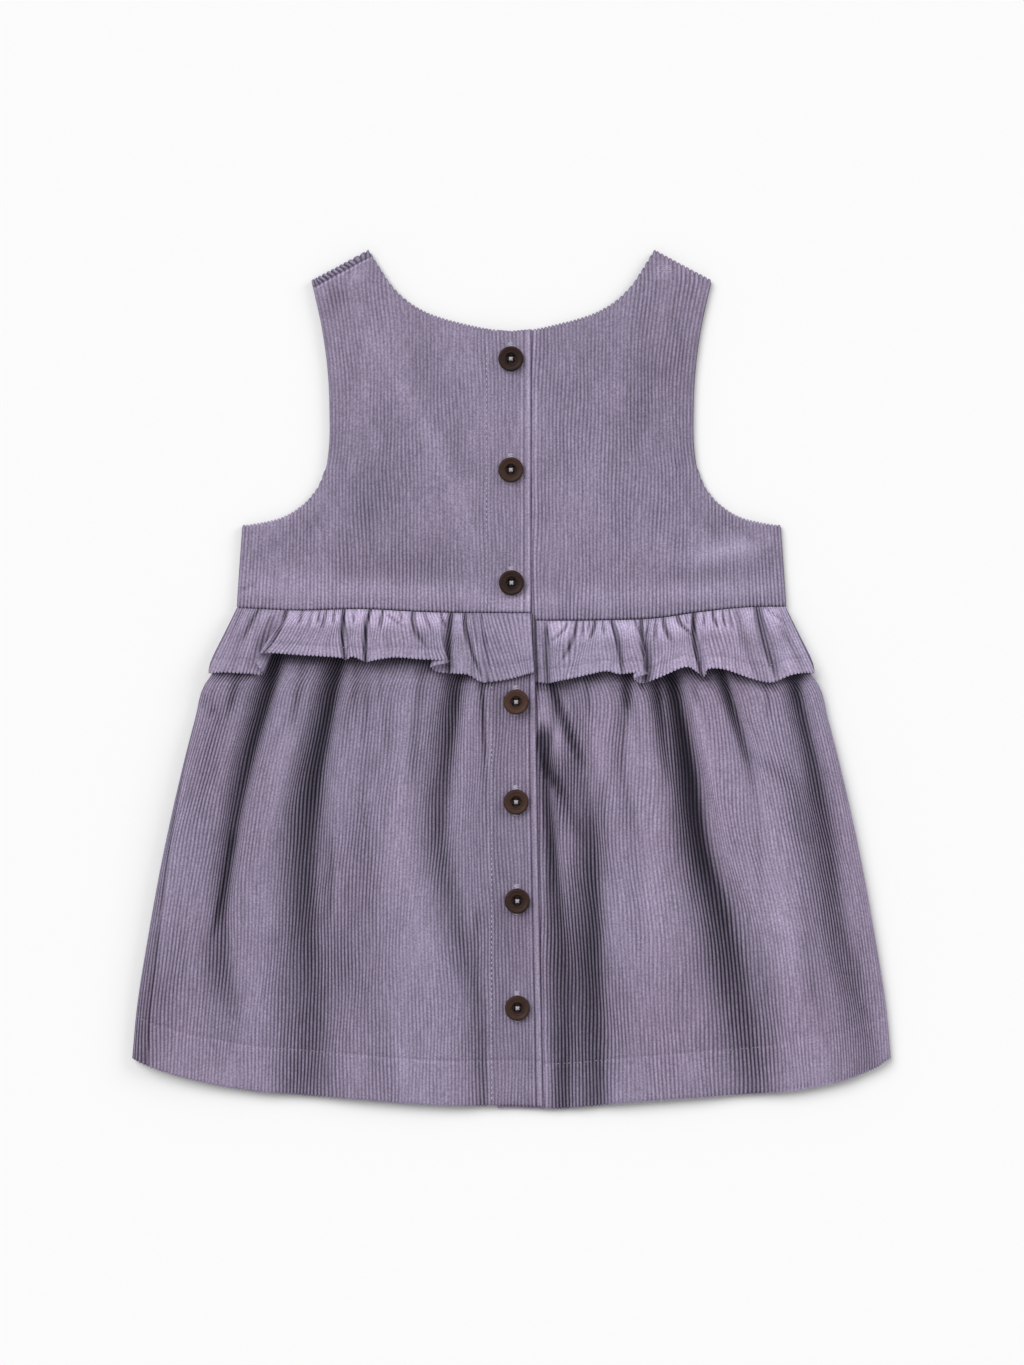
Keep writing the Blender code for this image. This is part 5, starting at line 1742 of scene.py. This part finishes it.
def corduroy(name, crest, groove_colour, blush):
    """Needlecord, by the attributes of its mesh.

    Its crests are light and its grooves dark by the wale attribute: the dark of the grooves is painted shade.
    The grooves are deeper by the crisp attribute, and plainer in patches where the pile is pressed flat.
    Streaks and fine dark lines run along the ribs, and the colour drifts softly over the cloth. The shade
    attribute is painted shade: the cloth is darker by e to the minus it, most in the grooves, and painted
    light makes it lighter by the same rule where it is below 0.
    """
    material, tree, shader = new_material(name, 0.95, 0.15)
    shader.inputs["Sheen Weight"].default_value = 0.2
    shader.inputs["Sheen Roughness"].default_value = 0.55
    shader.inputs["Sheen Tint"].default_value = (0.85, 0.78, 0.95, 1)
    wale, along, shade, crisp = (attribute_node(tree, key) for key in ("wale", "along", "shade", "crisp"))
    place = node_of(tree, "ShaderNodeTexCoord").outputs["Object"]

    def along_ribs(across_scale, along_scale, detail):
        space = node_of(tree, "ShaderNodeCombineXYZ")
        tree.links.new(math_node(tree, "MULTIPLY", wale, across_scale), space.inputs["X"])
        tree.links.new(math_node(tree, "MULTIPLY", along, along_scale), space.inputs["Y"])
        return noise_node(tree, space.outputs[0], 1.0, detail)

    from_crest = math_node(tree, "ABSOLUTE", math_node(tree, "SUBTRACT", math_node(tree, "FRACT", wale), 0.5))
    # Painted shade in the rib grooves, deeper where the ribs are crisp and less in pressed patches.
    toward_groove = spread_node(tree, from_crest, 0.08, 0.46)
    pressed = spread_node(tree, along_ribs(0.12, 0.02, 3.0), 0.3, 0.65, 0.5, 1.0)
    in_groove = math_node(tree, "MULTIPLY", toward_groove, spread_node(tree, crisp, 0.0, 1.0, 0.45, 1.1))
    in_groove = math_node(tree, "MULTIPLY", in_groove, pressed)
    streak = spread_node(tree, along_ribs(1.3, 0.08, 3.0), 0.3, 0.7, 0.89, 1.12)
    fine_dark = spread_node(tree, along_ribs(0.9, 0.03, 2.0), 0.6, 0.76, 1.0, 0.88)
    speckle = spread_node(tree, noise_node(tree, place, 1100.0, 2.0), 0.25, 0.75, 0.76, 1.22)
    drift = spread_node(tree, noise_node(tree, place, 15.0, 3.0), 0.25, 0.75)
    cloudy = spread_node(tree, noise_node(tree, place, 11.0, 2.0), 0.3, 0.7, 0.93, 1.06)

    lit = mix_colours(tree, drift, crest, blush)
    cloth = mix_colours(tree, in_groove, lit, groove_colour)
    level = math_node(tree, "MULTIPLY", math_node(tree, "MULTIPLY", streak, fine_dark), speckle)
    level = math_node(tree, "MULTIPLY", level, cloudy)
    # Painted light: where the shade attribute is below 0 the cloth is lighter by e to the minus it.
    painted_light = math_node(tree, "MAXIMUM", math_node(tree, "MULTIPLY", shade, -1.0), 0.0)
    level = math_node(tree, "MULTIPLY", level, math_node(tree, "EXPONENT", painted_light))
    grey = node_of(tree, "ShaderNodeCombineXYZ")
    for socket in grey.inputs:
        tree.links.new(level, socket)
    cloth = mix_colours(tree, 1.0, cloth, grey.outputs[0], "MULTIPLY")
    # Painted shade: by the shade attribute, more in the grooves, the cloth is mixed towards a bluish
    # near-black.
    deeper = math_node(tree, "MULTIPLY", shade, spread_node(tree, toward_groove, 0.0, 1.0, -0.6, -1.4))
    left = math_node(tree, "MINIMUM", math_node(tree, "EXPONENT", deeper), 1.0)
    painted_shading = mix_colours(tree, 1.0, cloth, (0.03, 0.028, 0.045), "MULTIPLY")
    tree.links.new(mix_colours(tree, left, painted_shading, cloth), shader.inputs["Base Color"])

    bump = node_of(tree, "ShaderNodeBump")
    bump.inputs["Strength"].default_value = 0.35
    bump.inputs["Distance"].default_value = 0.0002
    tree.links.new(noise_node(tree, place, 2600.0, 2.0), bump.inputs["Height"])
    tree.links.new(bump.outputs[0], shader.inputs["Normal"])
    return material


def button_material(name, dark, light):
    """Satin dark brown: lighter by the tone attribute, with a little fine grain across the button."""
    material, tree, shader = new_material(name, 0.5, 0.14)
    place = node_of(tree, "ShaderNodeTexCoord").outputs["Object"]
    stretch = node_of(tree, "ShaderNodeMapping")
    stretch.inputs["Scale"].default_value = (1.0, 4.0, 1.0)
    tree.links.new(place, stretch.inputs["Vector"])
    grain = spread_node(tree, noise_node(tree, stretch.outputs[0], 260.0, 4.0), 0.3, 0.7, -0.1, 0.1)
    tone = math_node(tree, "ADD", attribute_node(tree, "tone"), grain)
    tree.links.new(mix_colours(tree, tone, dark, light), shader.inputs["Base Color"])
    return material


def thread_material(name, colour):
    """Sewing thread, darker in the turns of its twist."""
    material, tree, shader = new_material(name, 0.7, 0.5)
    shader.inputs["Sheen Weight"].default_value = 0.3
    place = node_of(tree, "ShaderNodeTexCoord").outputs["Object"]
    twist = spread_node(tree, noise_node(tree, place, 3000.0, 2.0), 0.2, 0.8)
    darker = tuple(0.78 * c for c in colour)
    tree.links.new(mix_colours(tree, twist, darker, colour), shader.inputs["Base Color"])
    return material


# ---------------------------------------------------------------------------------------------
# Setting
# ---------------------------------------------------------------------------------------------

VIEW_MM = 682.5  # height of the view on the cloth
VIEW_CENTRE = (0.25, -1.75)
CAMERA_HEIGHT = 1.8  # metres above the floor
CLOTH_PLANE = 0.005  # metres, the height at which VIEW_MM is measured
FLOOR_REACH = 4.0  # metres, from the middle of the floor to its edges


def add_floor():
    """A wide, pale, matt surface under the dress."""
    mesh = bpy.data.meshes.new("floor")
    corners = [(i * FLOOR_REACH, j * FLOOR_REACH, 0) for i, j in ((-1, -1), (1, -1), (1, 1), (-1, 1))]
    mesh.from_pydata(corners, [], [(0, 1, 2, 3)])
    floor = bpy.data.objects.new("floor", mesh)
    material, _, shader = new_material("pale_paper", 0.9, 0.1)
    shader.inputs["Base Color"].default_value = (0.955, 0.955, 0.955, 1)
    mesh.materials.append(material)
    bpy.context.scene.collection.objects.link(floor)


def add_distant_light(name, place, spread, strength):
    """An even soft light from the direction of place, with that spread in degrees."""
    data = bpy.data.lights.new(name, "SUN")
    data.angle = math.radians(spread)
    data.energy = strength
    light = bpy.data.objects.new(name, data)
    light.location = place
    pitch = math.acos(place[2] / math.dist(place, (0, 0, 0)))
    light.rotation_euler = (pitch, 0.0, math.atan2(place[0], -place[1]))
    bpy.context.scene.collection.objects.link(light)


def add_lights():
    """Soft light from the upper left, a little from the upper right, and an even pale surround."""
    world = bpy.data.worlds.new("surround")
    world.use_nodes = True
    world.node_tree.nodes["Background"].inputs["Color"].default_value = (1, 1, 1, 1)
    world.node_tree.nodes["Background"].inputs["Strength"].default_value = 0.43
    bpy.context.scene.world = world
    add_distant_light("key", (-1.15, 1.25, 1.75), 44.0, 2.0)
    add_distant_light("far", (1.7, 0.9, 0.9), 30.0, 0.95)


def add_camera():
    """A camera straight above the dress."""
    data = bpy.data.cameras.new("camera")
    data.sensor_width = 36.0
    data.lens = 36.0 * (CAMERA_HEIGHT - CLOTH_PLANE) / (VIEW_MM * MM)
    data.clip_end = 20.0
    camera = bpy.data.objects.new("camera", data)
    camera.location = (VIEW_CENTRE[0] * MM, VIEW_CENTRE[1] * MM, CAMERA_HEIGHT)
    bpy.context.scene.collection.objects.link(camera)
    bpy.context.scene.camera = camera
    bpy.context.scene.view_settings.view_transform = "Standard"


def main():
    """Dresses every node, then sets the light and the camera."""
    bodice_cloth = corduroy(
        "lilac_needlecord_bodice", (0.286, 0.251, 0.354), (0.075, 0.061, 0.098), (0.3, 0.246, 0.35)
    )
    skirt_cloth = corduroy(
        "lilac_needlecord_skirt", (0.33, 0.288, 0.407), (0.083, 0.068, 0.108), (0.347, 0.28, 0.4)
    )
    pale_thread = thread_material("pale_lilac_thread", (0.54, 0.49, 0.62))
    lilac_thread = thread_material("lilac_thread", (0.36, 0.315, 0.43))
    grey_thread = thread_material("grey_thread", (0.47, 0.45, 0.5))
    horn = button_material("brown_horn", (0.009, 0.005, 0.005), (0.078, 0.038, 0.026))

    front_bodice = make_front_bodice(bodice_cloth)
    front_frill = make_front_frill(bodice_cloth)
    front_skirt = make_front_skirt(skirt_cloth)
    bodice_right = make_back_bodice(1, "back_bodice_right", UNDERLAP, bodice_cloth)
    bodice_left = make_back_bodice(-1, "back_bodice_left", LAP_EDGE_BODICE, bodice_cloth)
    skirt_right = make_back_skirt(1, "back_skirt_right", skirt_cloth)
    skirt_left = make_back_skirt(-1, "back_skirt_left", skirt_cloth)
    frill_right = make_back_frill(1, "back_frill_right", bodice_cloth)
    frill_left = make_back_frill(-1, "back_frill_left", bodice_cloth)
    sew_dress(pale_thread, lilac_thread)
    for number, (x, y, tone) in enumerate(zip(*BUTTONS.values()), 1):
        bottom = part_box(f"button_{number}")[0][2] / MM
        make_button(number, x, y, tone, bottom, horn)
        sew_button(number, x, y, bottom, grey_thread)
        make_buttonhole(number, x, y, pale_thread)

    add_floor()
    add_lights()
    add_camera()


main()
